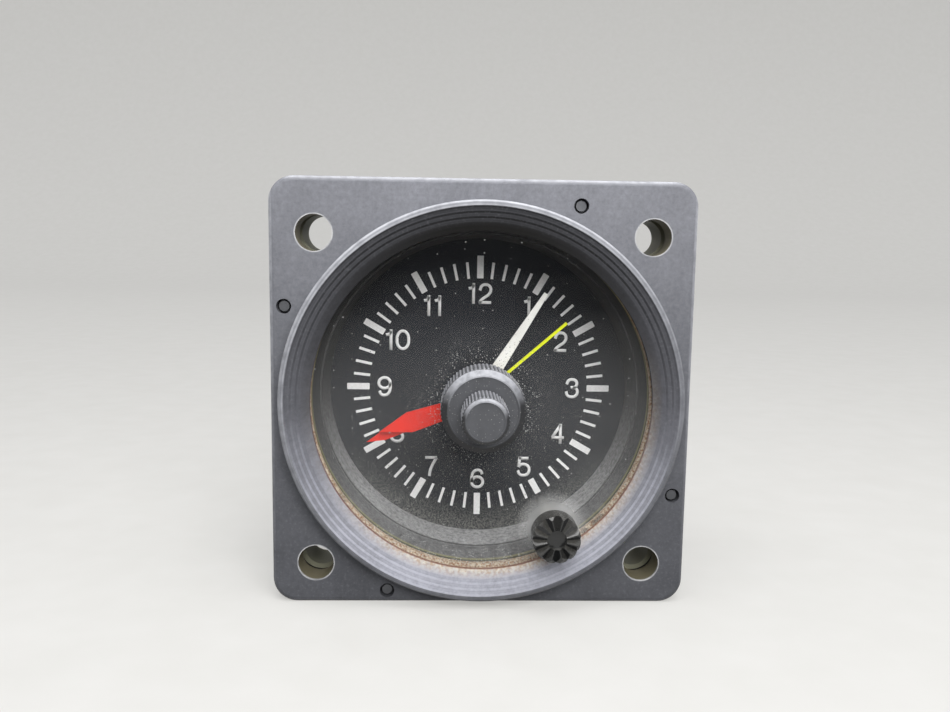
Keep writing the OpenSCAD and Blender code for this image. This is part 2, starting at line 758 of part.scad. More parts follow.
module nut(z0) {
    difference() {
        translate([0, 0, z0]) cylinder(r = nut_flats / sqrt(3), h = nut_h, $fn = 6);
        disc(stud_r + snug_gap, z0 - over, z0 + nut_h + over);
    }
}

module terminal_nuts() {
    color("#b79a52") face() at_terminals() {
        nut(nut_rear);
        nut(cover_front + insulator_t);
    }
}

module terminal_leads() {
    lead_r = 0.4;
    color("#7c2a22") face() at_terminals() disc(lead_r, stud_front, board_rear);
}

module memory_bush() {
    color("#8d7a45") face() difference() {
        union() {
            disc(bush_flange_r, lens_front, bush_front);
            disc(bush_r, bush_rear, lens_front);
        }
        disc(bush_bore_r, bush_rear - over, bush_front + over);
    }
}

module bush_ring() {
    color("#8d7a45") face() ring(bush_r + snug_gap, bush_ring_r, bush_rear, lens_rear);
}

module outer_sleeve() {
    color("#a8a9ab") face()
        ring(sleeve_bore_r, sleeve_r, front_pointer_z - pointer_t / 2, large_top - knob_cap_t);
}

module inner_shaft() {
    color("#a8a9ab") face() disc(shaft_r, rear_pointer_z - pointer_t / 2, small_top - knob_cap_t);
}

// Knurled knob: a ridged prism trimmed by a turned outline with a chamfered front
function ridge_points(r, count) = [for (i = [0 : count - 1]) for (k = [0, 1])
    polar(r - k * ridge_depth, 360 * (i + k / 2) / count)];

module knurled(r, h, count, chamfer) {
    clear_r = r + ridge_depth;
    foot_h = 1.5 * ridge_depth;
    intersection() {
        linear_extrude(h) polygon(ridge_points(r, count));
        rotate_extrude() polygon([[0, 0], [r - ridge_depth / 2, 0], [clear_r, foot_h],
            [clear_r, h - chamfer - ridge_depth], [r - chamfer, h], [0, h]]);
    }
}

module large_knob() {
    color("#55565a") face() difference() {
        translate([0, 0, large_base]) knurled(large_r, large_h, large_ridges, large_chamfer);
        disc(large_r - large_chamfer - face_rim, large_top - face_sink, large_top + over);
        disc(sleeve_r + snug_gap, large_base - over, large_top - knob_cap_t);
        disc(sleeve_bore_r, large_base - over, large_top + over);
    }
}

module small_knob() {
    color("#505155") face() difference() {
        translate([0, 0, small_base]) knurled(small_r, small_h, small_ridges, small_chamfer);
        disc(small_r - small_chamfer - face_rim, small_top - face_sink, small_top + over);
        disc(shaft_r + snug_gap, small_base - over, small_top - knob_cap_t);
    }
}

// Flat hand or pointer at a depth: hub, blade outline and bore, turned clockwise from twelve
module hand(z, t, turn, hub_r, bore_r, outline) {
    translate([0, 0, z - t / 2]) rotate(-turn) difference() {
        union() {
            cylinder(r = hub_r, h = t);
            linear_extrude(t) polygon(outline);
        }
        translate([0, 0, -over]) cylinder(r = bore_r, h = t + 2 * over);
    }
}

module front_pointer() {
    shoulder = front_pointer_len - front_pointer_point;
    color("#d8342a") face() hand(front_pointer_z, pointer_t, front_pointer_angle, sleeve_r + hub_w,
        sleeve_r + snug_gap, [[-front_pointer_root_w / 2, 0], [front_pointer_root_w / 2, 0],
        [front_pointer_w / 2, shoulder], [0, front_pointer_len], [-front_pointer_w / 2, shoulder]]);
}

module rear_pointer() {
    shoulder = rear_pointer_len - rear_pointer_point;
    half = rear_pointer_w / 2;
    color("#c62d24") face() hand(rear_pointer_z, pointer_t, rear_pointer_angle, shaft_r + hub_w,
        shaft_r + snug_gap,
        [[-half, 0], [half, 0], [half, shoulder], [0, rear_pointer_len], [-half, shoulder]]);
}

function taper(root_w, tip_w, length) =
    [[-root_w / 2, 0], [root_w / 2, 0], [tip_w / 2, length], [-tip_w / 2, length]];

module hour_hand() {
    color("#e9e8e2") face() hand(hour_z, hand_t, hour_angle, hour_tube_r + hub_w / 2,
        hour_tube_r + snug_gap, taper(hour_root_w, hour_tip_w, hour_len));
}

module minute_hand() {
    color("#e9e8e2") face() hand(minute_z, hand_t, minute_angle, cannon_r + hub_w,
        cannon_r + snug_gap, taper(minute_root_w, minute_tip_w, minute_len));
}

module seconds_hand() {
    half = seconds_w / 2;
    color("#dfe71e") face() hand(seconds_z, hand_t, seconds_angle, arbor_r + hub_w,
        arbor_r + snug_gap, [[-half, -seconds_tail], [half, -seconds_tail], [half, seconds_len],
        [-half, seconds_len]]);
}

// Set knob, stem and bush at five o'clock
set_bush_bore_r = stem_r + run_gap;
set_bush_r = set_bush_bore_r + set_bush_wall;
set_bush_front = lens_front + set_bush_t;
set_bush_tail = 0.4;
set_bush_rear = lens_rear - set_bush_tail;
set_bush_rim = 0.6;
set_knob_base = set_bush_front + set_room + set_travel;
set_knob_top = set_knob_base + set_knob_h;
set_knob_floor = 0.5;
stem_front = set_knob_top - set_recess_h - set_knob_floor;
stem_shoulder = pinion_front + set_gap;
stem_tail = 0.6;
stem_rear = plate_rear - stem_tail;
clip_w = 0.9;

module set_bush() {
    color("#303032") face() translate(stem_xy) difference() {
        union() {
            disc(set_bush_r + set_bush_rim, lens_front, set_bush_front);
            disc(set_bush_r, set_bush_rear, lens_front);
        }
        disc(set_bush_bore_r, set_bush_rear - over, set_bush_front + over);
    }
}

// Cut for one flute: its valley falls outward from the middle of the face, and its flanks open with the radius
module flute_cut(reach, half_turn, drop) {
    half_w = reach * tan(half_turn);
    polyhedron([[0, 0, 0], [reach, 0, -drop], [reach, 2 * half_w, drop], [reach, -2 * half_w, drop]],
               [[0, 1, 2], [0, 3, 1], [1, 3, 2], [0, 2, 3]]);
}

// Knob with V flutes that run from the recess in its face out over its rim
module set_knob() {
    flute_share = 0.88;
    flute_more = 1.3;
    half_turn = flute_share * full_turn / 2 / set_flutes;
    shoulder = 0.35;
    color("#141416") face() translate(stem_xy) difference() {
        rotate_extrude() polygon([[0, set_knob_base], [set_knob_r, set_knob_base],
            [set_knob_r, set_knob_top - shoulder], [set_knob_r - shoulder, set_knob_top], [0, set_knob_top]]);
        disc(set_recess_r, set_knob_top - set_recess_h, set_knob_top + over);
        disc(stem_r + snug_gap, set_knob_base - over, stem_front);
        for (i = [0 : set_flutes - 1]) rotate(full_turn * i / set_flutes + set_angle)
            translate([0, 0, set_knob_top])
                flute_cut(flute_more * set_knob_r, half_turn, flute_more * set_flute_h);
    }
}

module set_stem() {
    color("#232325") face() translate(stem_xy) {
        disc(stem_r, stem_shoulder, stem_front);
        disc(stem_tip_r, stem_rear, stem_shoulder);
    }
}

module set_clip() {
    color("#303032") face() translate(stem_xy) difference() {
        disc(stem_r + clip_w, set_bush_rear - run_gap - clip_t, set_bush_rear - run_gap);
        disc(stem_r + snug_gap, set_bush_rear - clip_t - over, set_bush_rear + over);
    }
}

// Plain and spoked gears, standing on z = 0
module gear(teeth, size, t, turn) {
    rotate(turn) linear_extrude(t) polygon(gear_points(teeth, size));
}

module spoked_gear(teeth, size, t, turn, hub_r) {
    spokes = 4;
    spoke_w = 1.1;
    rim_modules = 2.2;
    rim_more = 0.4;
    rim_r = teeth * size / 2 - rim_modules * size - rim_more;
    difference() {
        gear(teeth, size, t, turn);
        for (i = [0 : spokes - 1]) rotate(turn + 360 * i / spokes) intersection() {
            ring(hub_r, rim_r, -over, t + over);
            translate([spoke_w / 2, spoke_w / 2, -over]) cube([rim_r, rim_r, t + 2 * over]);
        }
    }
}

module set_pinion() {
    color("#b79a52") face() translate(stem_xy) difference() {
        translate([0, 0, pinion_rear]) gear(motion_small_teeth, motion_module, pinion_t, set_pinion_turn);
        disc(stem_tip_r + snug_gap, pinion_rear - over, pinion_front + over);
    }
}

module set_washer() {
    color("#a8a9ab") face() translate(stem_xy)
        ring(stem_tip_r + run_gap, spring_mid_r + 2 * spring_wire_r, washer_rear, washer_front);
}

// Return spring: one unbroken round wire wound between the front plate and the washer
spring_room = 0.3;
spring_mid_r = stem_tip_r + spring_room + spring_wire_r;
spring_low = plate_front + spring_wire_r + run_gap;
spring_high = washer_rear - spring_wire_r - run_gap;
spring_sides = 6;
spring_rings = 10;
function spring_point(s, k) =
    let (a = 360 * s, b = 360 * k / spring_sides)
    let (r = spring_mid_r + spring_wire_r * cos(b))
    let (rise = (spring_high - spring_low) * s / spring_turns)
    [r * cos(a), r * sin(a), spring_low + rise + spring_wire_r * sin(b)];

module set_spring() {
    last = spring_turns * spring_rings;
    points = [for (i = [0 : last]) for (k = [0 : spring_sides - 1]) spring_point(i / spring_rings, k)];
    sides = [for (i = [0 : last - 1]) for (k = [0 : spring_sides - 1]) for (half = [0, 1])
        let (n = (k + 1) % spring_sides, a = i * spring_sides, b = a + spring_sides)
        half == 0 ? [a + k, b + k, b + n] : [a + k, b + n, a + n]];
    first_end = [for (k = [1 : spring_sides - 2]) [0, k, k + 1]];
    last_end = [for (k = [1 : spring_sides - 2]) [0, k + 1, k] + last * spring_sides * [1, 1, 1]];
    color("#b9babc") face() translate(stem_xy) polyhedron(points, concat(sides, first_end, last_end));
}

module set_wheel() {
    color("#b79a52") face() translate(set_xy) difference() {
        translate([0, 0, motion_level - wheel_t / 2]) gear(set_teeth, motion_module, wheel_t, set_wheel_turn);
        disc(wheel_stud_r + run_gap, motion_level - over, motion_level + over);
    }
}

// Motion work between dial and front plate
wheel_stud_r = 0.8;
cannon_front = minute_z + hand_t / 2 + tube_tip;
hour_front = hour_z + hand_t / 2 + tube_tip;
hour_rear = hour_level - wheel_t / 2;
motion_pinion_front = hour_level + wheel_t / 2 + tube_tip;
spoke_hub_w = 0.7;

module hour_wheel() {
    color("#b79a52") face() difference() {
        union() {
            translate([0, 0, hour_rear])
                spoked_gear(hour_teeth, hour_module, wheel_t, hour_wheel_turn, hour_tube_r + spoke_hub_w);
            disc(hour_tube_r, hour_rear, hour_front);
        }
        disc(hour_bore_r, hour_rear - over, hour_front + over);
    }
}

module cannon_pinion() {
    color("#c9c9c6") face() difference() {
        union() {
            translate([0, 0, cannon_rear]) gear(motion_small_teeth, motion_module, pinion_t, 0);
            disc(cannon_r, cannon_rear, cannon_front);
        }
        disc(cannon_bore_r, cannon_rear - over, cannon_front + over);
    }
}

module motion_wheel() {
    wheel_rear = motion_level - wheel_t / 2;
    motion_hub_r = hour_module * (motion_small_teeth / 2 + tooth_tip) + spoke_hub_w / 2;
    color("#b79a52") face() translate(motion_xy) difference() {
        union() {
            translate([0, 0, wheel_rear])
                spoked_gear(motion_teeth, motion_module, wheel_t, motion_wheel_turn, motion_hub_r);
            translate([0, 0, wheel_rear])
                gear(motion_small_teeth, hour_module, motion_pinion_front - wheel_rear, 0);
        }
        disc(wheel_stud_r + run_gap, wheel_rear - over, motion_pinion_front + over);
    }
}

module wheel_studs() {
    color("#c9c9c6") face() {
        translate(motion_xy) disc(wheel_stud_r, plate_rear, motion_pinion_front + tube_tip);
        translate(set_xy) disc(wheel_stud_r, plate_rear, motion_level + wheel_t / 2 + tube_tip);
    }
}

dial_post_r = 1.4;
dial_post_turns = [40, 195, 285];

module dial_posts() {
    color("#b79a52") face() for (turn = dial_post_turns)
        translate(clock_xy(post_reach, turn)) disc(dial_post_r, plate_front, dial_rear);
}

// Movement plates, pillars and going train
pillar_turns = [350, 230, 135];
tenon_r = 0.9;
standoff_reach = 2.5;
standoff_room = 1;
train_hub_r = 1.8;
pivot_r = arbor_r + run_gap;

module at_pillars() {
    for (turn = pillar_turns) translate(clock_xy(pillar_reach, turn)) children();
}

module pivot_holes(z0, z1) {
    for (place = [third_xy, inter_xy, rotor_xy]) translate(place) disc(pivot_r, z0 - over, z1 + over);
}

module front_plate() {
    color("#c2ad6a") face() difference() {
        disc(plate_r, plate_rear, plate_front);
        disc(centre_tube_r + run_gap, plate_rear - over, plate_front + over);
        pivot_holes(plate_rear, plate_front);
        at_pillars() disc(tenon_r + snug_gap, plate_rear - over, plate_front + over);
        for (place = [motion_xy, set_xy])
            translate(place) disc(wheel_stud_r + snug_gap, plate_rear - over, plate_front + over);
        translate(stem_xy) disc(stem_tip_r + run_gap, plate_rear - over, plate_front + over);
    }
}

module back_plate() {
    color("#c2ad6a") face() difference() {
        disc(plate_r, back_rear, back_front);
        disc(pivot_r, back_rear - over, back_front + over);
        pivot_holes(back_rear, back_front);
        at_pillars() disc(tenon_r + snug_gap, back_rear - over, back_front + over);
        at_stator_ends() disc(tenon_r + snug_gap, back_rear - over, back_front + over);
    }
}

module plate_pillars() {
    color("#c9c9c6") face() at_pillars() difference() {
        union() {
            disc(pillar_r, back_front, plate_rear);
            disc(tenon_r, plate_rear, plate_front);
        }
        disc(tenon_r + snug_gap, back_front - over, back_front + standoff_reach + standoff_room);
    }
}

module arbor(z0, z1) {
    disc(arbor_r, z0, z1);
}

module centre_wheel() {
    wheel_rear = centre_level - wheel_t / 2;
    hub_r = centre_tube_r + spoke_hub_w;
    tube_front = plate_front + centre_tube_reach;
    color("#b79a52") face() difference() {
        union() {
            translate([0, 0, wheel_rear])
                spoked_gear(centre_teeth, centre_module, wheel_t, centre_wheel_turn, hub_r);
            disc(centre_tube_r, wheel_rear - tube_end, tube_front);
        }
        disc(centre_tube_bore_r, wheel_rear - over, tube_front + over);
    }
}

module third_wheel() {
    color("#b79a52") face() translate(third_xy) {
        arbor(back_rear + pivot_sink, plate_front - pivot_sink);
        translate([0, 0, centre_level - pinion_t / 2]) gear(small_teeth, centre_module, pinion_t, 0);
        translate([0, 0, third_level - wheel_t / 2])
            spoked_gear(third_teeth, third_module, wheel_t, third_wheel_turn, train_hub_r);
    }
}

module seconds_wheel() {
    color("#b79a52") face() {
        arbor(back_rear + pivot_sink, seconds_z + hand_t / 2 + tube_tip);
        translate([0, 0, third_level - pinion_t / 2]) gear(small_teeth, third_module, pinion_t, 0);
        translate([0, 0, seconds_level - wheel_t / 2])
            spoked_gear(seconds_teeth, seconds_module, wheel_t, 0, train_hub_r);
    }
}

module intermediate_wheel() {
    color("#e4ded0") face() translate(inter_xy) {
        arbor(back_rear + pivot_sink, plate_front - pivot_sink);
        translate([0, 0, seconds_level - pinion_t / 2])
            gear(small_teeth, seconds_module, pinion_t, inter_pinion_turn);
        translate([0, 0, inter_level - wheel_t / 2])
            spoked_gear(inter_teeth, inter_module, wheel_t, 0, train_hub_r);
    }
}

module rotor() {
    color("#6b6c70") face() translate(rotor_xy) {
        arbor(back_rear + pivot_sink, plate_front - pivot_sink);
        translate([0, 0, inter_level - pinion_t / 2])
            gear(small_teeth, inter_module, pinion_t, rotor_pinion_turn);
        disc(magnet_r, magnet_level - magnet_h / 2, magnet_level + magnet_h / 2);
    }
}

// Stepping motor: stator plate round the rotor, with the coil's core across its two ends
stator_end_r = 1.8;
coil_gap = 0.4;
stator_end_reach = coil_len / 2 + stator_end_r + coil_gap;
coil_x = rotor_xy.x + magnet_r + magnet_gap + bridge_w + coil_gap + coil_r;
coil_y = rotor_xy.y;
stator_front = magnet_level + stator_t / 2;
stator_rear = stator_front - stator_t;

module at_stator_ends() {
    for (side = [-1, 1]) translate([coil_x, coil_y + side * stator_end_reach, 0]) children();
}

module stator() {
    yoke_w = 3.6;
    yoke_x = rotor_xy.x;
    color("#8f9094") face() difference() {
        union() {
            translate([yoke_x, coil_y, magnet_level])
                cube([yoke_w, 2 * stator_end_reach, stator_t], center = true);
            translate(rotor_xy) disc(magnet_r + magnet_gap + bridge_w, stator_rear, stator_front);
            for (side = [-1, 1])
                translate([(yoke_x + coil_x) / 2, coil_y + side * stator_end_reach, magnet_level])
                    cube([coil_x - yoke_x + yoke_w / 2, 2 * stator_end_r, stator_t], center = true);
        }
        translate(rotor_xy) disc(magnet_r + magnet_gap, stator_rear - over, stator_front + over);
        at_stator_ends() disc(tenon_r + snug_gap, stator_rear - over, stator_front + over);
    }
}

module stator_posts() {
    color("#c9c9c6") face() at_stator_ends() {
        disc(pillar_r, back_front, stator_rear);
        disc(tenon_r, stator_rear, stator_front);
        disc(tenon_r, back_rear, back_front);
    }
}

module coil() {
    core_t = 0.8;
    bar_z = stator_front + core_t / 2;
    flange_d = 0.6;
    winding_sink = 0.3;
    color("#9c5a32") face() translate([coil_x, coil_y, 0]) {
        translate([0, 0, bar_z])
            cube([2 * tenon_r, 2 * (stator_end_reach + stator_end_r), core_t], center = true);
        translate([0, coil_len / 2, bar_z]) rotate([90, 0, 0]) {
            cylinder(r = coil_r - winding_sink, h = coil_len);
            cylinder(r = coil_r, h = flange_d);
            translate([0, 0, coil_len - flange_d]) cylinder(r = coil_r, h = flange_d);
        }
    }
}

// Circuit board behind the back plate
board_screw_r = 0.8;

module board_standoffs() {
    color("#c9c9c6") face() at_pillars() difference() {
        union() {
            translate([0, 0, board_front]) cylinder(r = pillar_r, h = board_room, $fn = 6);
            disc(tenon_r, back_rear, back_front + standoff_reach);
        }
        disc(board_screw_r + snug_gap, board_front - over, board_front + board_room);
    }
}

module circuit_board() {
    color("#2f5d3a") face() difference() {
        disc(board_r, board_rear, board_front);
        at_pillars() disc(board_screw_r + screw_gap, board_rear - over, board_front + over);
    }
}

module board_screws() {
    head_r = 1.5;
    head_h = 0.9;
    color("#c9c9c6") face() at_pillars() translate([0, 0, board_rear - head_h])
        slotted_screw(head_r, head_h, board_screw_r, board_t + board_room - end_gap);
}

module quartz_crystal() {
    can_r = 1;
    can_len = 6;
    can_rise = 9;
    color("#c7c8ca") face() translate([-can_len / 2, can_rise, board_rear - can_r]) rotate([0, 90, 0])
        cylinder(r = can_r, h = can_len);
}

module driver_chip() {
    chip_w = 6;
    chip_d = 4;
    chip_t = 1.5;
    chip_drop = 9;
    color("#1b1b1d") face() translate([0, -chip_drop, board_rear - chip_t / 2])
        cube([chip_w, chip_d, chip_t], center = true);
}

bezel_flange();
lens();
lens_gasket();
dial_ring();
dial();
case();
case_gasket();
case_screws();
rear_cover();
cover_gasket();
cover_screws();
terminal_studs();
terminal_insulators();
terminal_nuts();
terminal_leads();
memory_bush();
bush_ring();
outer_sleeve();
large_knob();
front_pointer();
inner_shaft();
small_knob();
rear_pointer();
set_bush();
set_knob();
set_stem();
set_clip();
set_pinion();
set_washer();
set_spring();
set_wheel();
hour_hand();
minute_hand();
seconds_hand();
hour_wheel();
cannon_pinion();
motion_wheel();
wheel_studs();
dial_posts();
front_plate();
back_plate();
plate_pillars();
centre_wheel();
third_wheel();
seconds_wheel();
intermediate_wheel();
rotor();
stator();
stator_posts();
coil();
board_standoffs();
circuit_board();
board_screws();
quartz_crystal();
driver_chip();
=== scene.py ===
# Aircraft panel clock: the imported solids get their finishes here, and the printed and wound pieces are added.
import json
import math

import bpy
from mathutils import Matrix, Vector

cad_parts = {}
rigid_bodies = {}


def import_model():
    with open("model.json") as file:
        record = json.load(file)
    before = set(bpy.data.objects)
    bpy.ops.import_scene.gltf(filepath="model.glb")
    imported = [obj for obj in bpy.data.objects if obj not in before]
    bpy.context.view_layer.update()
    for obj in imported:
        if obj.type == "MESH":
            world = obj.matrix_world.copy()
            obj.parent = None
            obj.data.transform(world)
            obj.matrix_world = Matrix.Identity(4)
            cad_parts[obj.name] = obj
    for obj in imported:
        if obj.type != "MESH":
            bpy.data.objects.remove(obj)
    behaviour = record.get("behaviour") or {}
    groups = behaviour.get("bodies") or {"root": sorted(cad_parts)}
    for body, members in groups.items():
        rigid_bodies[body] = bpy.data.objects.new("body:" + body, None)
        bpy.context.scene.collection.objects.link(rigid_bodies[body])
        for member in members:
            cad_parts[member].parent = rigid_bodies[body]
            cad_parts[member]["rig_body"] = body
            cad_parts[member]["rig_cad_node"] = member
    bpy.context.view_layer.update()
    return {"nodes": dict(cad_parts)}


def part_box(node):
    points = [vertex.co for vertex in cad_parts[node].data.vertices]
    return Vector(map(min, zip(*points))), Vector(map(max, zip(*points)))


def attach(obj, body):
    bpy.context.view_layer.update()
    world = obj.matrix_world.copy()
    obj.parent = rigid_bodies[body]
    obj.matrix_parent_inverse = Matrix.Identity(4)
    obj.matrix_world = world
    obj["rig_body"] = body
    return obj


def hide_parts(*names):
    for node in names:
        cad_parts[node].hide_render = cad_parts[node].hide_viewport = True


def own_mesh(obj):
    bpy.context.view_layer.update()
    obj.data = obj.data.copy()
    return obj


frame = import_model()
nodes = frame["nodes"]
bpy.ops.object.select_all(action="DESELECT")
mm = 0.001


# Movement frame, arbors and wheels: sheet brass and drawn steel, stamped, turned and cut, then left bare.
# Turning and rolling leave fine streaks, and the brass has a thin tarnish in patches.
def linear(colour):
    """The linear colour of an sRGB hex value."""
    parts = [int(colour[i : i + 2], 16) / 255 for i in (1, 3, 5)]
    return [p / 12.92 if p <= 0.04045 else ((p + 0.055) / 1.055) ** 2.4 for p in parts] + [1.0]


def add(material, kind, sockets=(), **settings):
    """Adds a node with its settings; sockets gives each input a value or the output that it takes."""
    node = material.node_tree.nodes.new("ShaderNode" + kind)
    for name, value in settings.items():
        setattr(node, name, value)
    for name, value in dict(sockets).items():
        if isinstance(value, bpy.types.NodeSocket):
            material.node_tree.links.new(value, node.inputs[name])
        else:
            node.inputs[name].default_value = value
    return node


def new_finish(name):
    """An empty node material."""
    material = bpy.data.materials.new(name)
    material.use_nodes = True
    material.node_tree.nodes.clear()
    return material


def dress(material, *names):
    """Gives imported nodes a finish."""
    for name in names:
        nodes[name].data.materials.clear()
        nodes[name].data.materials.append(material)


def bare_metal(name, colour, tarnish, roughness):
    """Bare metal: tarnish in patches, and streaks that are coarser than real ones, so that they show."""
    streak_gap = 0.12 * mm
    patch_size = 4 * mm
    metal = new_finish(name)
    place = add(metal, "TexCoord").outputs["Object"]
    squeezed = add(metal, "Mapping", {"Vector": place, "Scale": (1, 0.05, 1)}).outputs[0]
    streaks = add(metal, "TexNoise", {"Vector": squeezed, "Scale": 1 / streak_gap, "Detail": 3}).outputs[0]
    patches = add(metal, "TexNoise", {"Vector": place, "Scale": 1 / patch_size, "Detail": 5}).outputs[0]
    share = add(metal, "MapRange", {"Value": patches, "From Min": 0.4, "From Max": 0.75}).outputs[0]
    tone = add(metal, "Mix", {0: share, 6: linear(colour), 7: linear(tarnish)}, data_type="RGBA").outputs[2]
    gloss = add(metal, "MapRange", {"Value": streaks, "To Min": roughness - 0.1, "To Max": roughness + 0.12})
    relief = add(metal, "Bump", {"Height": streaks, "Strength": 0.25, "Distance": 0.01 * mm}).outputs[0]
    shader = add(
        metal,
        "BsdfPrincipled",
        {"Base Color": tone, "Metallic": 1.0, "Roughness": gloss.outputs[0], "Normal": relief},
    )
    add(metal, "OutputMaterial", {"Surface": shader.outputs[0]})
    return metal


brass = bare_metal("turned brass", "#b9984f", "#8a6a32", 0.34)
dress(brass, "front_plate", "back_plate", "dial_posts", "centre_wheel", "third_wheel", "seconds_wheel")
dress(brass, "hour_wheel", "motion_wheel", "set_wheel", "set_pinion")

steel = bare_metal("drawn steel", "#b4b4b6", "#8d8b88", 0.3)
dress(steel, "plate_pillars", "stator_posts", "wheel_studs", "cannon_pinion", "outer_sleeve", "inner_shaft")
dress(steel, "board_standoffs", "board_screws", "quartz_crystal", "set_washer")


# Step motor: a stamped soft-iron stator, a magnet rotor, and a coil of enamelled copper wire on a bobbin.
# The wire lies in even turns, so the coil shows fine ribs round its axis. The ribs are painted darker in the
# grooves and paler on the crests, as painted shade and highlight.
iron = bare_metal("stamped soft iron", "#8c8d92", "#6b6763", 0.45)
dress(iron, "stator", "rotor")

wire_pitch = 0.16 * mm
winding = new_finish("enamelled copper wire")
place = add(winding, "TexCoord").outputs["Object"]
turns = add(
    winding,
    "TexWave",
    {"Vector": place, "Scale": 1 / (math.pi * wire_pitch), "Distortion": 0.4, "Detail": 1},
    wave_type="BANDS",
    bands_direction="X",
).outputs[1]
# Painted shade and highlight: darker copper in the grooves between turns, paler copper on their crests
tone = add(
    winding, "Mix", {0: turns, 6: linear("#6a3416"), 7: linear("#b5653a")}, data_type="RGBA"
).outputs[2]
relief = add(winding, "Bump", {"Height": turns, "Strength": 0.6, "Distance": 0.05 * mm}).outputs[0]
shader = add(
    winding,
    "BsdfPrincipled",
    {"Base Color": tone, "Metallic": 0.6, "Roughness": 0.35, "Normal": relief, "Coat Weight": 0.5},
)
add(winding, "OutputMaterial", {"Surface": shader.outputs[0]})
dress(winding, "coil")


# Circuit board with its driver chip, the intermediate wheel, insulators, leads and case gaskets: laminated,
# moulded and cut from plastics and rubber. These show an even colour that drifts a little, a fine grain and
# a soft gloss.
def drifting(material, colour, shade, size, detail):
    """A drift from place to place, over a size in mm, and a tone between two colours that follows it."""
    place = add(material, "TexCoord").outputs["Object"]
    drift = add(
        material, "TexNoise", {"Vector": place, "Scale": 1 / (size * mm), "Detail": detail}
    ).outputs[0]
    tone = add(material, "Mix", {0: drift, 6: linear(colour), 7: linear(shade)}, data_type="RGBA").outputs[2]
    return drift, tone


def grained(material, size, detail, strength, deep):
    """A grain and the relief it makes, sizes in mm. Grains are coarser than real ones, so that they show."""
    place = add(material, "TexCoord").outputs["Object"]
    grain = add(
        material, "TexNoise", {"Vector": place, "Scale": 1 / (size * mm), "Detail": detail}
    ).outputs[0]
    relief = add(material, "Bump", {"Height": grain, "Strength": strength, "Distance": deep * mm}).outputs[0]
    return grain, relief


def moulded(name, colour, shade, roughness, grain):
    """Plastic or rubber with a drifting colour, and a grain of a size in mm."""
    plastic = new_finish(name)
    _, tone = drifting(plastic, colour, shade, size=3, detail=4)
    pits, relief = grained(plastic, size=grain, detail=2, strength=0.3, deep=0.02)
    gloss = add(plastic, "MapRange", {"Value": pits, "To Min": roughness - 0.08, "To Max": roughness + 0.1})
    shader = add(
        plastic,
        "BsdfPrincipled",
        {"Base Color": tone, "Roughness": gloss.outputs[0], "IOR": 1.5, "Normal": relief},
    )
    add(plastic, "OutputMaterial", {"Surface": shader.outputs[0]})
    return plastic


dress(moulded("glass-fibre laminate", "#2c6a3e", "#1f5230", 0.4, 0.4), "circuit_board")
dress(moulded("moulded epoxy package", "#1d1d20", "#26262a", 0.5, 0.15), "driver_chip")
dress(moulded("moulded nylon", "#e3ddcb", "#d3cbb6", 0.45, 0.3), "intermediate_wheel")
dress(moulded("brown phenolic", "#4a3424", "#38271b", 0.38, 0.25), "terminal_insulators")
dress(moulded("red insulated lead", "#8e2b22", "#74211b", 0.5, 0.2), "terminal_leads")
dress(moulded("black rubber", "#1c1c1c", "#2a2928", 0.75, 0.2), "case_gasket", "cover_gasket")


# Dial: an aluminium disc sprayed with matt black paint. Dust has come in over the years and lies on it as
# pale specks, most of them low down, and as fluff along the foot. Real specks are finer and wouldn't show.
dial_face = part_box("dial")[0].y
specks_top = 6 * mm
specks_foot = -20 * mm
fluff_inner = 18.5 * mm
fluff_outer = 22.5 * mm
fluff_top = -9 * mm
fluff_foot = -19 * mm


def dust_specks(material, cell, largest, share):
    """Marks round specks, sizes in mm: one to a cell, in a share of the cells, up to a largest radius."""
    place = add(material, "TexCoord").outputs["Object"]
    parts = add(material, "SeparateXYZ", {0: place})
    flat = add(material, "CombineXYZ", {"X": parts.outputs["X"], "Y": parts.outputs["Z"]}).outputs[0]
    cells = add(
        material, "TexVoronoi", {"Vector": flat, "Scale": 1 / (cell * mm)}, voronoi_dimensions="2D"
    )
    chance = add(material, "SeparateXYZ", {0: cells.outputs["Color"]}).outputs["X"]
    radius = add(
        material,
        "MapRange",
        {"Value": chance, "From Min": 1 - share, "From Max": 1, "To Min": 0, "To Max": largest / cell},
    ).outputs[0]
    return add(material, "Math", {0: cells.outputs["Distance"], 1: radius}, operation="LESS_THAN").outputs[0]


def axis_distance(material, place):
    """Distance of a place from the clock's axis."""
    flat = add(material, "VectorMath", {0: place, 1: (1, 0, 1)}, operation="MULTIPLY").outputs[0]
    return add(material, "VectorMath", {0: flat}, operation="LENGTH").outputs["Value"]


dial_paint = new_finish("matt black dial paint")
place = add(dial_paint, "TexCoord").outputs["Object"]
_, tone = drifting(dial_paint, "#1f2126", "#292b30", size=5, detail=5)
height = add(dial_paint, "SeparateXYZ", {0: place}).outputs["Z"]
reach = axis_distance(dial_paint, place)
low_down = add(
    dial_paint,
    "MapRange",
    {"Value": height, "From Min": specks_top, "From Max": specks_foot, "To Min": 0.15, "To Max": 0.7},
).outputs[0]
lying = add(
    dial_paint,
    "Math",
    {0: dust_specks(dial_paint, cell=0.36, largest=0.075, share=0.4), 1: low_down},
    operation="MULTIPLY",
).outputs[0]
by_wall = add(
    dial_paint, "MapRange", {"Value": reach, "From Min": fluff_inner, "From Max": fluff_outer}
).outputs[0]
at_foot = add(
    dial_paint, "MapRange", {"Value": height, "From Min": fluff_top, "From Max": fluff_foot}
).outputs[0]
strip = add(dial_paint, "Math", {0: by_wall, 1: at_foot}, operation="MULTIPLY").outputs[0]
fluff = add(
    dial_paint, "TexNoise", {"Vector": place, "Scale": 1 / (0.25 * mm), "Detail": 6, "Roughness": 0.75}
).outputs[0]
fluffy = add(
    dial_paint, "MapRange", {"Value": fluff, "From Min": 0.42, "From Max": 0.62, "To Max": 0.55}
).outputs[0]
strip = add(dial_paint, "Math", {0: strip, 1: fluffy}, operation="MULTIPLY").outputs[0]
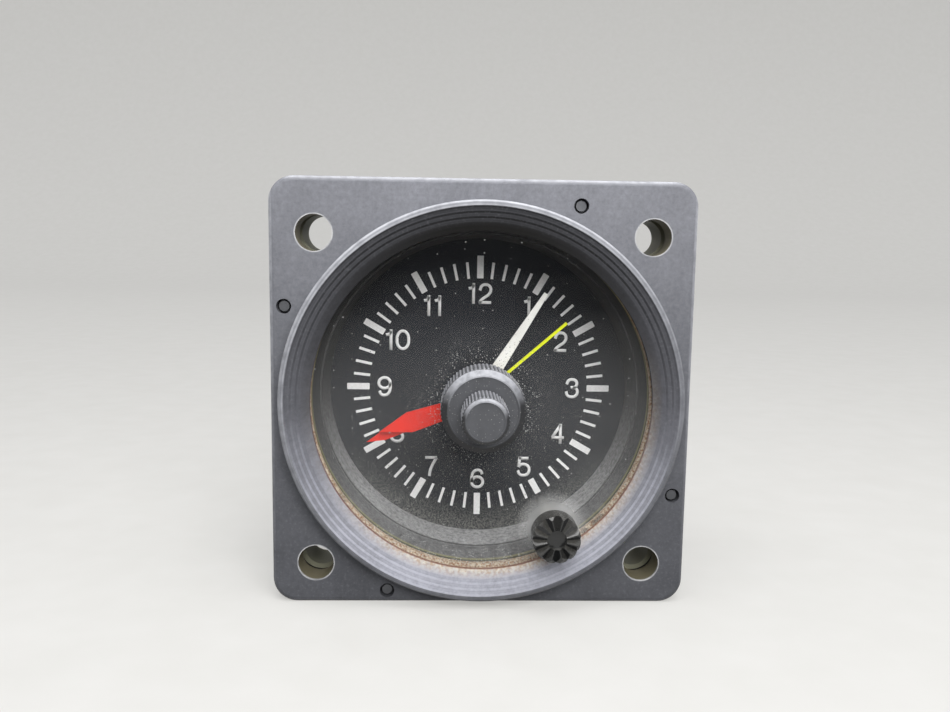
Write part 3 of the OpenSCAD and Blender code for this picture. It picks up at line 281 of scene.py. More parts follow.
lying = add(dial_paint, "Math", {0: lying, 1: strip}, operation="MAXIMUM").outputs[0]
dusty = add(dial_paint, "Mix", {0: lying, 6: tone, 7: linear("#9b9a92")}, data_type="RGBA").outputs[2]
_, relief = grained(dial_paint, size=0.2, detail=2, strength=0.2, deep=0.02)
shader = add(
    dial_paint,
    "BsdfPrincipled",
    {"Base Color": dusty, "Roughness": 0.7, "Specular IOR Level": 0.2, "Normal": relief},
)
add(dial_paint, "OutputMaterial", {"Surface": shader.outputs[0]})
dress(dial_paint, "dial")


# Dial ticks: white ink, screen-printed on the dial. Hour ticks are broad, minute ticks narrow, all from one
# inner circle. The hour tick behind the set knob's stem is cut short.
ink_lift = 0.05 * mm
tick_inner = 17.1 * mm
hour_tick = (1.0 * mm, 3.5 * mm)
minute_tick = (0.42 * mm, 2.55 * mm)
short_tick = (1.0 * mm, 2.55 * mm)
short_hour = 5
minute_step = math.radians(6)
corner_share = 0.08

white_ink = new_finish("white printing ink")
cover, relief = grained(white_ink, size=0.35, detail=4, strength=0.2, deep=0.01)
thin = add(white_ink, "MapRange", {"Value": cover, "From Min": 0.3, "From Max": 0.75}).outputs[0]
tone = add(
    white_ink, "Mix", {0: thin, 6: linear("#f8f8f7"), 7: linear("#e9e9e7")}, data_type="RGBA"
).outputs[2]
shader = add(white_ink, "BsdfPrincipled", {"Base Color": tone, "Roughness": 0.55, "Normal": relief})
add(white_ink, "OutputMaterial", {"Surface": shader.outputs[0]})


def choose_edges(piece, wanted):
    """Leaves a piece in edit mode, with the edges selected whose two ends pass a test."""
    bpy.ops.object.mode_set(mode="EDIT")
    bpy.ops.mesh.select_mode(type="EDGE")
    bpy.ops.mesh.select_all(action="DESELECT")
    bpy.ops.object.mode_set(mode="OBJECT")
    for edge in piece.data.edges:
        edge.select = wanted(*(piece.data.vertices[i].co for i in edge.vertices))
    bpy.ops.object.mode_set(mode="EDIT")


def ink_bar(size, low, face, lift):
    """A printed bar with rounded corners, upright over the axis, that stands out of a face by lift."""
    width, length = size
    bpy.ops.object.select_all(action="DESELECT")
    bpy.ops.mesh.primitive_cube_add(
        size=1, location=(0, face - lift / 2, low + length / 2), scale=(width, abs(lift), length)
    )
    bar = bpy.context.object
    bpy.ops.object.transform_apply(location=True, rotation=True, scale=True)
    choose_edges(bar, lambda a, b: abs(a.y - b.y) > abs(lift) / 2)
    bpy.ops.mesh.bevel(offset=width * corner_share, segments=2, affect="EDGES")
    bpy.ops.object.mode_set(mode="OBJECT")
    return bar


def joined(pieces, name, material):
    """Makes one object of several pieces, with one finish, fixed to the clock's body."""
    bpy.ops.object.select_all(action="DESELECT")
    for piece in pieces:
        piece.select_set(True)
    bpy.context.view_layer.objects.active = pieces[0]
    bpy.ops.object.join()
    whole = bpy.context.object
    whole.name = name
    whole.data.materials.clear()
    whole.data.materials.append(material)
    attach(whole, "clock_body")


tick_sizes = (hour_tick, minute_tick, short_tick)
patterns = {size: ink_bar(size, tick_inner, dial_face, ink_lift) for size in tick_sizes}
ticks = []
for minute in range(60):
    size = minute_tick if minute % 5 else short_tick if minute == 5 * short_hour else hour_tick
    tick = patterns[size].copy()
    tick.data = patterns[size].data.copy()
    tick.data.transform(Matrix.Rotation(minute_step * minute, 4, "Y"))
    bpy.context.collection.objects.link(tick)
    ticks.append(tick)
for pattern in patterns.values():
    bpy.data.objects.remove(pattern)
joined(ticks, "dial_ticks", white_ink)


# Dial numerals: the same white ink, in plain upright sans figures drawn with a pen of one width.
# Each figure is a set of strokes in a box one unit wide and high, scaled to the figure's size.
figure_w = 1.82 * mm
figure_h = 2.78 * mm
pen_w = 0.45 * mm
figure_r = 14.75 * mm
advance = 2.6 * mm
narrow_advance = 1.68 * mm
hour_step = math.radians(30)
weld_gap = 0.001 * mm
curve, line, loop = "curve", "line", "loop"
six = [
    (curve, [(0.45, 0.26), (0.28, 0.45), (0.02, 0.5), (-0.3, 0.4), (-0.48, 0.08), (-0.48, -0.22)]),
    (loop, [
        (0, 0.1), (0.36, 0.01), (0.5, -0.2), (0.36, -0.41),
        (0, -0.5), (-0.35, -0.41), (-0.48, -0.2), (-0.34, 0.01),
    ]),
]
strokes = {
    "0": [
        (loop, [
            (0, 0.5), (0.34, 0.38), (0.5, 0), (0.34, -0.38),
            (0, -0.5), (-0.34, -0.38), (-0.5, 0), (-0.34, 0.38),
        ]),
    ],
    "1": [(line, [(0.16, -0.58), (0.16, 0.58)]), (curve, [(0.16, 0.5), (0.04, 0.33), (-0.26, 0.28)])],
    "2": [
        (curve, [
            (-0.47, 0.17), (-0.32, 0.42), (0, 0.5), (0.34, 0.42), (0.46, 0.2),
            (0.3, -0.03), (-0.12, -0.24), (-0.4, -0.41), (-0.47, -0.54),
        ]),
        (line, [(-0.53, -0.5), (0.5, -0.5)]),
    ],
    "3": [
        (curve, [
            (-0.45, 0.22), (-0.29, 0.44), (0, 0.5), (0.32, 0.43),
            (0.43, 0.25), (0.29, 0.08), (-0.1, 0.04),
        ]),
        (curve, [
            (0.1, 0.05), (0.38, -0.03), (0.5, -0.22), (0.34, -0.43),
            (0, -0.5), (-0.35, -0.42), (-0.49, -0.19),
        ]),
    ],
    "4": [
        (line, [(0.2, -0.58), (0.2, 0.58)]),
        (line, [(0.2, 0.52), (-0.5, -0.2)]),
        (line, [(-0.56, -0.22), (0.52, -0.22)]),
    ],
    "5": [
        (line, [(-0.4, 0.5), (0.42, 0.5)]),
        (line, [(-0.33, 0.56), (-0.44, -0.02)]),
        (curve, [
            (-0.44, -0.02), (-0.24, 0.12), (0.04, 0.15), (0.4, 0.03), (0.5, -0.18),
            (0.36, -0.42), (0, -0.5), (-0.34, -0.43), (-0.49, -0.22),
        ]),
    ],
    "6": six,
    "7": [
        (line, [(-0.52, 0.5), (0.52, 0.5)]),
        (curve, [(0.48, 0.5), (0.12, 0.06), (-0.06, -0.24), (-0.14, -0.58)]),
    ],
    "8": [
        (loop, [
            (0, 0.5), (0.3, 0.43), (0.42, 0.27), (0.3, 0.11),
            (0, 0.04), (-0.3, 0.11), (-0.42, 0.27), (-0.3, 0.43),
        ]),
        (loop, [
            (0, 0.04), (0.36, -0.05), (0.5, -0.23), (0.36, -0.42),
            (0, -0.5), (-0.36, -0.42), (-0.5, -0.23), (-0.36, -0.05),
        ]),
    ],
    "9": [(kind, [(-x, -y) for x, y in points]) for kind, points in six],
}

nib = bpy.data.curves.new("nib", "CURVE")
nib_line = nib.splines.new("POLY")
nib_line.points.add(3)
for point, (across, up) in zip(nib_line.points, ((-1, -1), (1, -1), (1, 1), (-1, 1))):
    point.co = (across * pen_w / 2, up * ink_lift / 2, 0, 1)
nib_line.use_cyclic_u = True
nib_piece = bpy.data.objects.new("nib", nib)
bpy.context.collection.objects.link(nib_piece)


def figure(digit, across, up):
    """One printed figure as a closed mesh, its middle at a place on the dial."""
    drawn = bpy.data.curves.new("figure", "CURVE")
    drawn.dimensions = "2D"
    drawn.fill_mode = "NONE"
    drawn.bevel_mode = "OBJECT"
    drawn.bevel_object = nib_piece
    drawn.use_fill_caps = True
    drawn.resolution_u = 6
    for kind, points in strokes[digit]:
        path = drawn.splines.new("BEZIER")
        path.bezier_points.add(len(points) - 1)
        path.use_cyclic_u = kind == loop
        for knot, (x, y) in zip(path.bezier_points, points):
            knot.co = (x * figure_w, y * figure_h, 0)
            knot.handle_left_type = knot.handle_right_type = "VECTOR" if kind == line else "AUTO"
    piece = bpy.data.objects.new("figure", drawn)
    bpy.context.collection.objects.link(piece)
    bpy.ops.object.select_all(action="DESELECT")
    piece.select_set(True)
    bpy.context.view_layer.objects.active = piece
    bpy.ops.object.convert(target="MESH")
    piece = bpy.context.object
    piece.data.transform(Matrix.Rotation(math.radians(90), 4, "X"))
    piece.data.transform(Matrix.Translation((across, dial_face - ink_lift / 2, up)))
    bpy.ops.object.mode_set(mode="EDIT")
    bpy.ops.mesh.select_all(action="SELECT")
    bpy.ops.mesh.remove_doubles(threshold=weld_gap)
    bpy.ops.mesh.normals_make_consistent(inside=False)
    bpy.ops.object.mode_set(mode="OBJECT")
    return piece


figures = []
for hour in range(1, 13):
    widths = [narrow_advance if digit == "1" else advance for digit in str(hour)]
    turn = hour_step * hour
    left = figure_r * math.sin(turn) - sum(widths) / 2
    for digit, width in zip(str(hour), widths):
        figures.append(figure(digit, left + width / 2, figure_r * math.cos(turn)))
        left += width
bpy.data.objects.remove(nib_piece)
joined(figures, "dial_numerals", white_ink)


# Spacer ring between dial and lens: turned aluminium in matt black. Dust lies on its lower side, thickest on
# the deeper half, and its pale tone there is also painted light from above. A smear of old sealant runs along
# its front edge, beside a painted shadow line by the seal.
def settled_dust(material, least, most, grain):
    """Share of a face under dust, in clumps: least where the face looks down, most where it looks up."""
    place = add(material, "TexCoord")
    up = add(material, "SeparateXYZ", {0: place.outputs["Normal"]}).outputs["Z"]
    lying = add(
        material,
        "MapRange",
        {"Value": up, "From Min": -0.25, "From Max": 0.8, "To Min": least, "To Max": most},
        interpolation_type="SMOOTHSTEP",
    ).outputs[0]
    clumps = add(
        material,
        "TexNoise",
        {"Vector": place.outputs["Object"], "Scale": 1 / (grain * mm), "Detail": 6, "Roughness": 0.7},
    ).outputs[0]
    spread = add(
        material, "MapRange", {"Value": clumps, "From Min": 0.32, "From Max": 0.62, "To Min": 0.35}
    ).outputs[0]
    return add(material, "Math", {0: lying, 1: spread}, operation="MULTIPLY").outputs[0]


spacer_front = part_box("dial_ring")[0].y
spacer_paint = new_finish("matt black paint, dusty")
place = add(spacer_paint, "TexCoord").outputs["Object"]
depth = add(spacer_paint, "SeparateXYZ", {0: place}).outputs["Y"]
middle = (spacer_front + dial_face) / 2
deep_start = middle - 0.3 * mm
deep_full = middle + 0.3 * mm
smear_start = spacer_front + 1.9 * mm
smear_full = spacer_front + 1.5 * mm
shadow_start = spacer_front + 1.4 * mm
shadow_full = spacer_front + 1.2 * mm
deep = add(
    spacer_paint,
    "MapRange",
    {"Value": depth, "From Min": deep_start, "From Max": deep_full, "To Min": 0.36, "To Max": 1},
).outputs[0]
# Dust and painted light: pale where the wall looks up, nearly black where it looks down
dust = settled_dust(spacer_paint, least=0.04, most=0.95, grain=0.6)
lying = add(spacer_paint, "Math", {0: dust, 1: deep}, operation="MULTIPLY").outputs[0]
dusty = add(
    spacer_paint, "Mix", {0: lying, 6: linear("#1b1b1c"), 7: linear("#bdbdbd")}, data_type="RGBA"
).outputs[2]
smear = add(
    spacer_paint,
    "MapRange",
    {"Value": depth, "From Min": smear_start, "From Max": smear_full, "To Max": 0.75},
).outputs[0]
tone = add(spacer_paint, "Mix", {0: smear, 6: dusty, 7: linear("#9a9560")}, data_type="RGBA").outputs[2]
# Painted shadow: a dark band along the front edge, by the seal
painted_shadow_line = add(
    spacer_paint,
    "MapRange",
    {"Value": depth, "From Min": shadow_start, "From Max": shadow_full, "To Max": 0.85},
).outputs[0]
tone = add(spacer_paint, "Mix", {0: painted_shadow_line, 6: tone, 7: linear("#33321f")}, data_type="RGBA").outputs[2]
_, relief = grained(spacer_paint, size=0.25, detail=3, strength=0.4, deep=0.03)
shader = add(spacer_paint, "BsdfPrincipled", {"Base Color": tone, "Roughness": 0.75, "Normal": relief})
add(spacer_paint, "OutputMaterial", {"Surface": shader.outputs[0]})
dress(spacer_paint, "dial_ring")


# Hands and memory pointers: thin stamped blades, sprayed white, yellow and red, and pressed on their arbors.
# Spray leaves an even, slightly grainy coat with a soft gloss.
def sprayed(name, colour, shade, roughness):
    """Sprayed enamel with a drifting colour and a grain."""
    drift_size = 2 * mm
    paint = new_finish(name)
    place = add(paint, "TexCoord").outputs["Object"]
    drift = add(paint, "TexNoise", {"Vector": place, "Scale": 1 / drift_size, "Detail": 5}).outputs[0]
    share = add(paint, "MapRange", {"Value": drift, "From Min": 0.35, "From Max": 0.7}).outputs[0]
    tone = add(paint, "Mix", {0: share, 6: linear(colour), 7: linear(shade)}, data_type="RGBA").outputs[2]
    grain, relief = grained(paint, size=0.15, detail=2, strength=0.2, deep=0.01)
    gloss = add(paint, "MapRange", {"Value": grain, "To Min": roughness - 0.1, "To Max": roughness + 0.1})
    shader = add(
        paint,
        "BsdfPrincipled",
        {"Base Color": tone, "Roughness": gloss.outputs[0], "Specular IOR Level": 0.2, "Normal": relief},
    )
    add(paint, "OutputMaterial", {"Surface": shader.outputs[0]})
    return paint


dress(sprayed("white hand enamel", "#efefea", "#e0e0da", 0.5), "hour_hand", "minute_hand")
dress(sprayed("yellow hand enamel", "#e2ea16", "#d3da12", 0.5), "seconds_hand")
dress(sprayed("red pointer enamel", "#e82a17", "#da2414", 0.5), "front_pointer", "rear_pointer")


# Lens seal: a flat ring of tan cork and rubber, cut from sheet and pressed between lens and spacer.
# It has gone dry, so that its edge shows crumbs and dark pits.
seal = new_finish("dry tan cork rubber")
crumbs, relief = grained(seal, size=0.3, detail=5, strength=0.8, deep=0.15)
share = add(seal, "MapRange", {"Value": crumbs, "From Min": 0.35, "From Max": 0.6}).outputs[0]
tone = add(seal, "Mix", {0: share, 6: linear("#9b6a42"), 7: linear("#dfcfb4")}, data_type="RGBA").outputs[2]
shader = add(seal, "BsdfPrincipled", {"Base Color": tone, "Roughness": 0.85, "Normal": relief})
add(seal, "OutputMaterial", {"Surface": shader.outputs[0]})
dress(seal, "lens_gasket")


# Lens: a clear glass disc, held between the bezel's lip and its seal. A thin anti-glare film makes it mirror
# little head on and more at a slant. Dust specks sit on its front, with a pale film low down and round the
# knobs, and a thin haze of painted light that is paler at the sides and below.
lens_mirror = 0.006
film_top = -8 * mm
film_foot = -22 * mm
film_inner = 17 * mm
film_outer = 24 * mm
knob_dust_outer = 12 * mm
knob_dust_inner = 6 * mm
set_dust_outer = 5.6 * mm
set_dust_inner = 3.4 * mm
haze_side = 16 * mm
haze_top = 14 * mm
haze_full = -2 * mm
cloud_size = 1.2 * mm
lens_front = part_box("lens")[0].y
front_skin = lens_front + 0.05 * mm
behind_skin = lens_front + 0.1 * mm
lens = new_finish("clear glass, dusty")
slant = add(lens, "LayerWeight", {"Blend": 0.5}).outputs["Facing"]
fifth = add(lens, "Math", {0: slant, 1: 5.0}, operation="POWER").outputs[0]
mirror = add(lens, "MapRange", {"Value": fifth, "To Min": lens_mirror, "To Max": 1.0}).outputs[0]
clear = add(lens, "BsdfTransparent", {"Color": linear("#fdfdfd")})
shine = add(lens, "BsdfAnisotropic", {"Color": linear("#ffffff"), "Roughness": 0.03})
pane = add(lens, "MixShader", {0: mirror, 1: clear.outputs[0], 2: shine.outputs[0]})

# Pale film: cloudy low down by the rim and round the memory knobs, dense round the set knob
place = add(lens, "TexCoord").outputs["Object"]
parts = add(lens, "SeparateXYZ", {0: place})
reach = axis_distance(lens, place)
low_down = add(
    lens, "MapRange", {"Value": parts.outputs["Z"], "From Min": film_top, "From Max": film_foot}
).outputs[0]
near_rim = add(lens, "MapRange", {"Value": reach, "From Min": film_inner, "From Max": film_outer}).outputs[0]
bottom_rim = add(lens, "Math", {0: low_down, 1: near_rim}, operation="MULTIPLY").outputs[0]
near_knob = add(
    lens, "MapRange", {"Value": reach, "From Min": knob_dust_outer, "From Max": knob_dust_inner}
).outputs[0]
clouds = add(
    lens, "TexNoise", {"Vector": place, "Scale": 1 / cloud_size, "Detail": 7, "Roughness": 0.75}
).outputs[0]
cloudy = add(
    lens, "MapRange", {"Value": clouds, "From Min": 0.36, "From Max": 0.72, "To Max": 0.3}
).outputs[0]
veil = add(lens, "MapRange", {"Value": near_knob, "To Max": 0.1}).outputs[0]
veil = add(lens, "Math", {0: veil, 1: bottom_rim}, operation="MAXIMUM").outputs[0]
film_and_painted_light = add(lens, "Math", {0: cloudy, 1: veil}, operation="MULTIPLY").outputs[0]
set_low, set_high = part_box("set_knob")
set_middle = ((set_low.x + set_high.x) / 2, 0, (set_low.z + set_high.z) / 2)
beside_set = add(lens, "VectorMath", {0: place, 1: set_middle}, operation="SUBTRACT").outputs[0]
from_set = axis_distance(lens, beside_set)
round_set = add(
    lens,
    "MapRange",
    {"Value": from_set, "From Min": set_dust_outer, "From Max": set_dust_inner, "To Max": 0.4},
).outputs[0]
film_and_painted_light = add(lens, "Math", {0: film_and_painted_light, 1: round_set}, operation="MAXIMUM").outputs[0]

# Painted light as a thin haze: paler towards the sides and below, and clear at the top, so the dial's top looks
# shaded
across = add(lens, "Math", {0: parts.outputs["X"]}, operation="ABSOLUTE").outputs[0]
paler_sides = add(
    lens, "MapRange", {"Value": across, "From Max": haze_side, "To Min": 0.02, "To Max": 0.065}
).outputs[0]
paler_below = add(
    lens, "MapRange", {"Value": parts.outputs["Z"], "From Min": haze_top, "From Max": haze_full}
).outputs[0]
painted_light_haze = add(lens, "Math", {0: paler_sides, 1: paler_below}, operation="MULTIPLY").outputs[0]
film_and_painted_light = add(lens, "Math", {0: film_and_painted_light, 1: painted_light_haze}, operation="ADD").outputs[0]

# Specks: coarse ones all over, fine ones where the film is
zone = add(lens, "Math", {0: bottom_rim, 1: near_knob}, operation="MAXIMUM").outputs[0]
coarse = dust_specks(lens, cell=1.3, largest=0.11, share=0.25)
fine = dust_specks(lens, cell=0.3, largest=0.078, share=0.75)
fine = add(lens, "Math", {0: fine, 1: zone}, operation="MULTIPLY").outputs[0]
patchy = add(
    lens, "MapRange", {"Value": clouds, "From Min": 0.34, "From Max": 0.54, "To Max": 0.75}
).outputs[0]
fine = add(lens, "Math", {0: fine, 1: patchy}, operation="MULTIPLY").outputs[0]
coarse = add(lens, "Math", {0: coarse, 1: 0.4}, operation="MULTIPLY").outputs[0]
specks = add(lens, "Math", {0: fine, 1: coarse}, operation="MAXIMUM").outputs[0]
covered = add(lens, "Math", {0: film_and_painted_light, 1: specks}, operation="MAXIMUM").outputs[0]
in_front = add(
    lens, "MapRange", {"Value": parts.outputs["Y"], "From Min": behind_skin, "From Max": front_skin}
).outputs[0]
covered = add(lens, "Math", {0: covered, 1: in_front}, operation="MULTIPLY").outputs[0]
dust = add(lens, "BsdfPrincipled", {"Base Color": linear("#c2c2c0"), "Roughness": 0.9})
surface = add(lens, "MixShader", {0: covered, 1: pane.outputs[0], 2: dust.outputs[0]})
add(lens, "OutputMaterial", {"Surface": surface.outputs[0]})
dress(lens, "lens")


# Bezel: a cast and turned aluminium flange with a ring, in satin dark grey enamel, screwed on from behind.
# The tool has left rings on the slope, edges are rubbed pale, and the bolt holes show chromate. A dusty film
# lies on all of it, thickest low on the slope, with crumbs of the seal by the lip. Painted light from above is
# laid into the film and the rubbed edges: both are paler higher up and where the slope looks up, and each bolt
# hole has a painted highlight round its edge.
flange_low, flange_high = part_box("bezel_flange")
flange_half = (flange_high - flange_low) / 2 * Vector((1, 0, 1))
flange_middle = (flange_high + flange_low) / 2 * Vector((1, 0, 1))
bolt_half = (23.57 * mm, 0, 23.57 * mm)
bolt_r = 2.55 * mm
ring_r = 28.3 * mm
rim_w = 0.75 * mm
lip_r = 24.15 * mm
ring_front = flange_low.y
slope_outer = ring_r - rim_w
film_reach = 30 * mm
wear_reach = 22 * mm
less_worn = 12 * mm
least_worn = 28 * mm
least_swept = -10 * mm
most_swept = -22 * mm
lip_stain_top = 2 * mm
lip_stain_full = -12 * mm


def bolt_distance(material):
    """Distance to the middle of the nearest bolt hole, across the axis."""
    place = add(material, "TexCoord").outputs["Object"]
    corner = add(material, "VectorMath", {0: place}, operation="ABSOLUTE").outputs[0]
    offset = add(material, "VectorMath", {0: corner, 1: bolt_half}, operation="SUBTRACT").outputs[0]
    return axis_distance(material, offset)


bezel = new_finish("satin grey enamel on aluminium")
place = add(bezel, "TexCoord").outputs["Object"]
normal = add(bezel, "TexCoord").outputs["Normal"]
facing = add(bezel, "SeparateXYZ", {0: normal}).outputs["Z"]
parts = add(bezel, "SeparateXYZ", {0: place})
height, depth = parts.outputs["Z"], parts.outputs["Y"]
reach = axis_distance(bezel, place)
drift = add(
    bezel, "TexNoise", {"Vector": place, "Scale": 1 / (7 * mm), "Detail": 6, "Roughness": 0.6}
).outputs[0]
drift_share = add(bezel, "MapRange", {"Value": drift, "From Min": 0.35, "From Max": 0.65}).outputs[0]
tone = add(
    bezel, "Mix", {0: drift_share, 6: linear("#28292c"), 7: linear("#313235")}, data_type="RGBA"
).outputs[2]

# Dusty film, with painted light in it: paler higher up on the flat faces, and on the slope where that looks up
painted_light_rise = add(bezel, "MapRange", {"Value": height, "From Min": -film_reach, "From Max": film_reach}).outputs[0]
painted_light_rise = add(bezel, "Math", {0: painted_light_rise, 1: 1.6}, operation="POWER").outputs[0]
flat_film_and_light = add(bezel, "MapRange", {"Value": painted_light_rise, "To Min": 0.24, "To Max": 0.8}).outputs[0]
slope_film_and_light = add(
    bezel, "MapRange", {"Value": facing, "From Min": -0.19, "From Max": 0.5}, interpolation_type="SMOOTHSTEP"
).outputs[0]
thin_film = add(
    bezel, "MapRange", {"Value": facing, "From Min": -0.5, "From Max": 0, "To Max": 0.2}
).outputs[0]
slope_film_and_light = add(bezel, "Math", {0: slope_film_and_light, 1: thin_film}, operation="MAXIMUM").outputs[0]
on_slope = add(
    bezel,
    "MapRange",
    {"Value": reach, "From Min": slope_outer + 0.1 * mm, "From Max": slope_outer - 0.1 * mm},
).outputs[0]
outward = add(
    bezel, "MapRange", {"Value": reach, "From Min": lip_r + 0.6 * mm, "From Max": slope_outer - 1.2 * mm}
).outputs[0]
slope_tone = add(
    bezel, "Mix", {0: outward, 6: linear("#141312"), 7: linear("#2c2c2e")}, data_type="RGBA"
).outputs[2]
tone = add(bezel, "Mix", {0: on_slope, 6: tone, 7: slope_tone}, data_type="RGBA").outputs[2]
film_and_painted_light = add(bezel, "Mix", {0: on_slope, 2: flat_film_and_light, 3: slope_film_and_light}, data_type="FLOAT").outputs[0]
patches = add(
    bezel, "MapRange", {"Value": drift, "From Min": 0.3, "From Max": 0.7, "To Min": 0.85, "To Max": 1.1}
).outputs[0]
film_and_painted_light = add(bezel, "Math", {0: film_and_painted_light, 1: patches}, operation="MULTIPLY").outputs[0]
mottle = add(
    bezel, "TexNoise", {"Vector": place, "Scale": 1 / (0.7 * mm), "Detail": 6, "Roughness": 0.75}
).outputs[0]
mottled = add(
    bezel, "MapRange", {"Value": mottle, "From Min": 0.3, "From Max": 0.7, "To Min": 0.76, "To Max": 1.22}
).outputs[0]
film_and_painted_light = add(bezel, "Math", {0: film_and_painted_light, 1: mottled}, operation="MULTIPLY", use_clamp=True).outputs[0]
film_tone = add(
    bezel, "Mix", {0: on_slope, 6: linear("#85868c"), 7: linear("#9c9da6")}, data_type="RGBA"
).outputs[2]
tone = add(bezel, "Mix", {0: film_and_painted_light, 6: tone, 7: film_tone}, data_type="RGBA").outputs[2]
speckle, relief = grained(bezel, size=0.4, detail=3, strength=0.25, deep=0.02)
grit = add(
    bezel, "MapRange", {"Value": speckle, "From Min": 0.55, "From Max": 0.75, "To Max": 0.18}
).outputs[0]
grit = add(bezel, "Math", {0: grit, 1: outward}, operation="MULTIPLY").outputs[0]

# Tool rings on the slope
rings = add(
    bezel, "TexNoise", {"W": reach, "Scale": 1 / (0.3 * mm), "Detail": 4}, noise_dimensions="1D"
).outputs[0]
ring_tone = add(
    bezel, "MapRange", {"Value": rings, "From Min": 0.4, "From Max": 0.7, "To Max": 0.16}
).outputs[0]
ring_share = add(bezel, "Math", {0: ring_tone, 1: on_slope}, operation="MULTIPLY").outputs[0]
ring_share = add(bezel, "Math", {0: ring_share, 1: outward}, operation="MULTIPLY").outputs[0]

# Bare metal along the flange's front edge and the ring's rim, most of it to the left; high up it is also a
# painted highlight
from_middle = add(bezel, "VectorMath", {0: place, 1: flange_middle}, operation="SUBTRACT").outputs[0]
one_side = add(bezel, "VectorMath", {0: from_middle}, operation="ABSOLUTE").outputs[0]
past_edge = add(bezel, "VectorMath", {0: one_side, 1: flange_half}, operation="SUBTRACT").outputs[0]
past = add(bezel, "SeparateXYZ", {0: past_edge})
edge = add(bezel, "Math", {0: past.outputs["X"], 1: past.outputs["Z"]}, operation="MAXIMUM").outputs[0]
edge_wear_and_highlight = add(bezel, "MapRange", {"Value": edge, "From Min": -0.6 * mm, "From Max": -0.1 * mm}).outputs[0]
by_front = add(bezel, "MapRange", {"Value": depth, "From Min": 1.0 * mm, "From Max": 0.3 * mm}).outputs[0]
edge_wear_and_highlight = add(bezel, "Math", {0: edge_wear_and_highlight, 1: by_front}, operation="MULTIPLY").outputs[0]
inner_line = add(
    bezel,
    "MapRange",
    {"Value": reach, "From Min": slope_outer + 0.3 * mm, "From Max": slope_outer + 0.1 * mm},
).outputs[0]
outer_line = add(
    bezel, "MapRange", {"Value": reach, "From Min": ring_r - 0.4 * mm, "From Max": ring_r - 0.2 * mm}
).outputs[0]
rim_wear_and_highlight = add(bezel, "Math", {0: inner_line, 1: outer_line}, operation="MAXIMUM").outputs[0]
rim_wear_and_highlight = add(bezel, "MapRange", {"Value": rim_wear_and_highlight, "To Min": 0.45}).outputs[0]
off_slope = add(bezel, "Math", {0: 1.0, 1: on_slope}, operation="SUBTRACT").outputs[0]
front_part = add(
    bezel, "MapRange", {"Value": depth, "From Min": ring_front + 0.6 * mm, "From Max": ring_front + 0.2 * mm}
).outputs[0]
to_right = add(
    bezel,
    "MapRange",
    {"Value": parts.outputs["X"], "From Min": less_worn, "From Max": least_worn, "To Min": 1, "To Max": 0.4},
).outputs[0]
for share in (off_slope, front_part, to_right):
    rim_wear_and_highlight = add(bezel, "Math", {0: rim_wear_and_highlight, 1: share}, operation="MULTIPLY").outputs[0]
wear_and_highlight = add(bezel, "Math", {0: edge_wear_and_highlight, 1: rim_wear_and_highlight}, operation="MAXIMUM").outputs[0]
# Painted highlight: the bare edges are paler higher up, where the light from above catches them
highlight_higher_up = add(
    bezel, "MapRange", {"Value": height, "From Min": -wear_reach, "From Max": wear_reach, "To Min": 0.15}
).outputs[0]
wear_and_highlight = add(bezel, "Math", {0: wear_and_highlight, 1: highlight_higher_up}, operation="MULTIPLY").outputs[0]
rubbing = add(bezel, "TexNoise", {"Vector": place, "Scale": 1 / (1.5 * mm), "Detail": 6}).outputs[0]
rubbed = add(
    bezel, "MapRange", {"Value": rubbing, "From Min": 0.3, "From Max": 0.6, "To Min": 0.35, "To Max": 0.85}
).outputs[0]
wear_and_highlight = add(bezel, "Math", {0: wear_and_highlight, 1: rubbed}, operation="MULTIPLY").outputs[0]

# A painted highlight round each bolt hole's edge, broken up by rubbing, and chromate inside
bolt_gap = bolt_distance(bezel)
hole_highlight = add(
    bezel, "MapRange", {"Value": bolt_gap, "From Min": bolt_r + 0.2 * mm, "From Max": bolt_r + 0.06 * mm}
).outputs[0]
hole_highlight = add(bezel, "Math", {0: hole_highlight, 1: rubbed}, operation="MULTIPLY").outputs[0]
in_hole = add(bezel, "MapRange", {"Value": depth, "From Min": 0.15 * mm, "From Max": 0.4 * mm}).outputs[0]
by_hole = add(
    bezel, "MapRange", {"Value": bolt_gap, "From Min": bolt_r + 1.0 * mm, "From Max": bolt_r + 0.9 * mm}
).outputs[0]
in_hole = add(bezel, "Math", {0: in_hole, 1: by_hole}, operation="MULTIPLY").outputs[0]

# Grit, rings, bare metal with its painted highlight, the painted highlights round the holes, and chromate, each
# over the one before
layers = (grit, ring_share, wear_and_highlight, hole_highlight, in_hole)
for share, colour in zip(layers, ("#8a8b8f", "#6a6b70", "#bcbdc2", "#c4c4c4", "#6d6753")):
    tone = add(bezel, "Mix", {0: share, 6: tone, 7: linear(colour)}, data_type="RGBA").outputs[2]

# Dust and tan crumbs by the lip, fewest to the left, and a rusty line on the lip's own edge
dust = settled_dust(bezel, least=0.0, most=0.85, grain=0.5)
by_lip = add(
    bezel, "MapRange", {"Value": reach, "From Min": lip_r + 1.3 * mm, "From Max": lip_r + 0.2 * mm}
).outputs[0]
lying = add(bezel, "Math", {0: dust, 1: by_lip}, operation="MULTIPLY").outputs[0]
swept_left = add(
    bezel,
    "MapRange",
    {"Value": parts.outputs["X"], "From Min": most_swept, "From Max": least_swept, "To Min": 0.2},
).outputs[0]
lying = add(bezel, "Math", {0: lying, 1: swept_left}, operation="MULTIPLY").outputs[0]
crumbs = add(bezel, "MapRange", {"Value": speckle, "From Min": 0.4, "From Max": 0.6}).outputs[0]
crumb_tone = add(
    bezel, "Mix", {0: crumbs, 6: linear("#a9854f"), 7: linear("#d2c8b0")}, data_type="RGBA"
).outputs[2]
tone = add(bezel, "Mix", {0: lying, 6: tone, 7: crumb_tone}, data_type="RGBA").outputs[2]
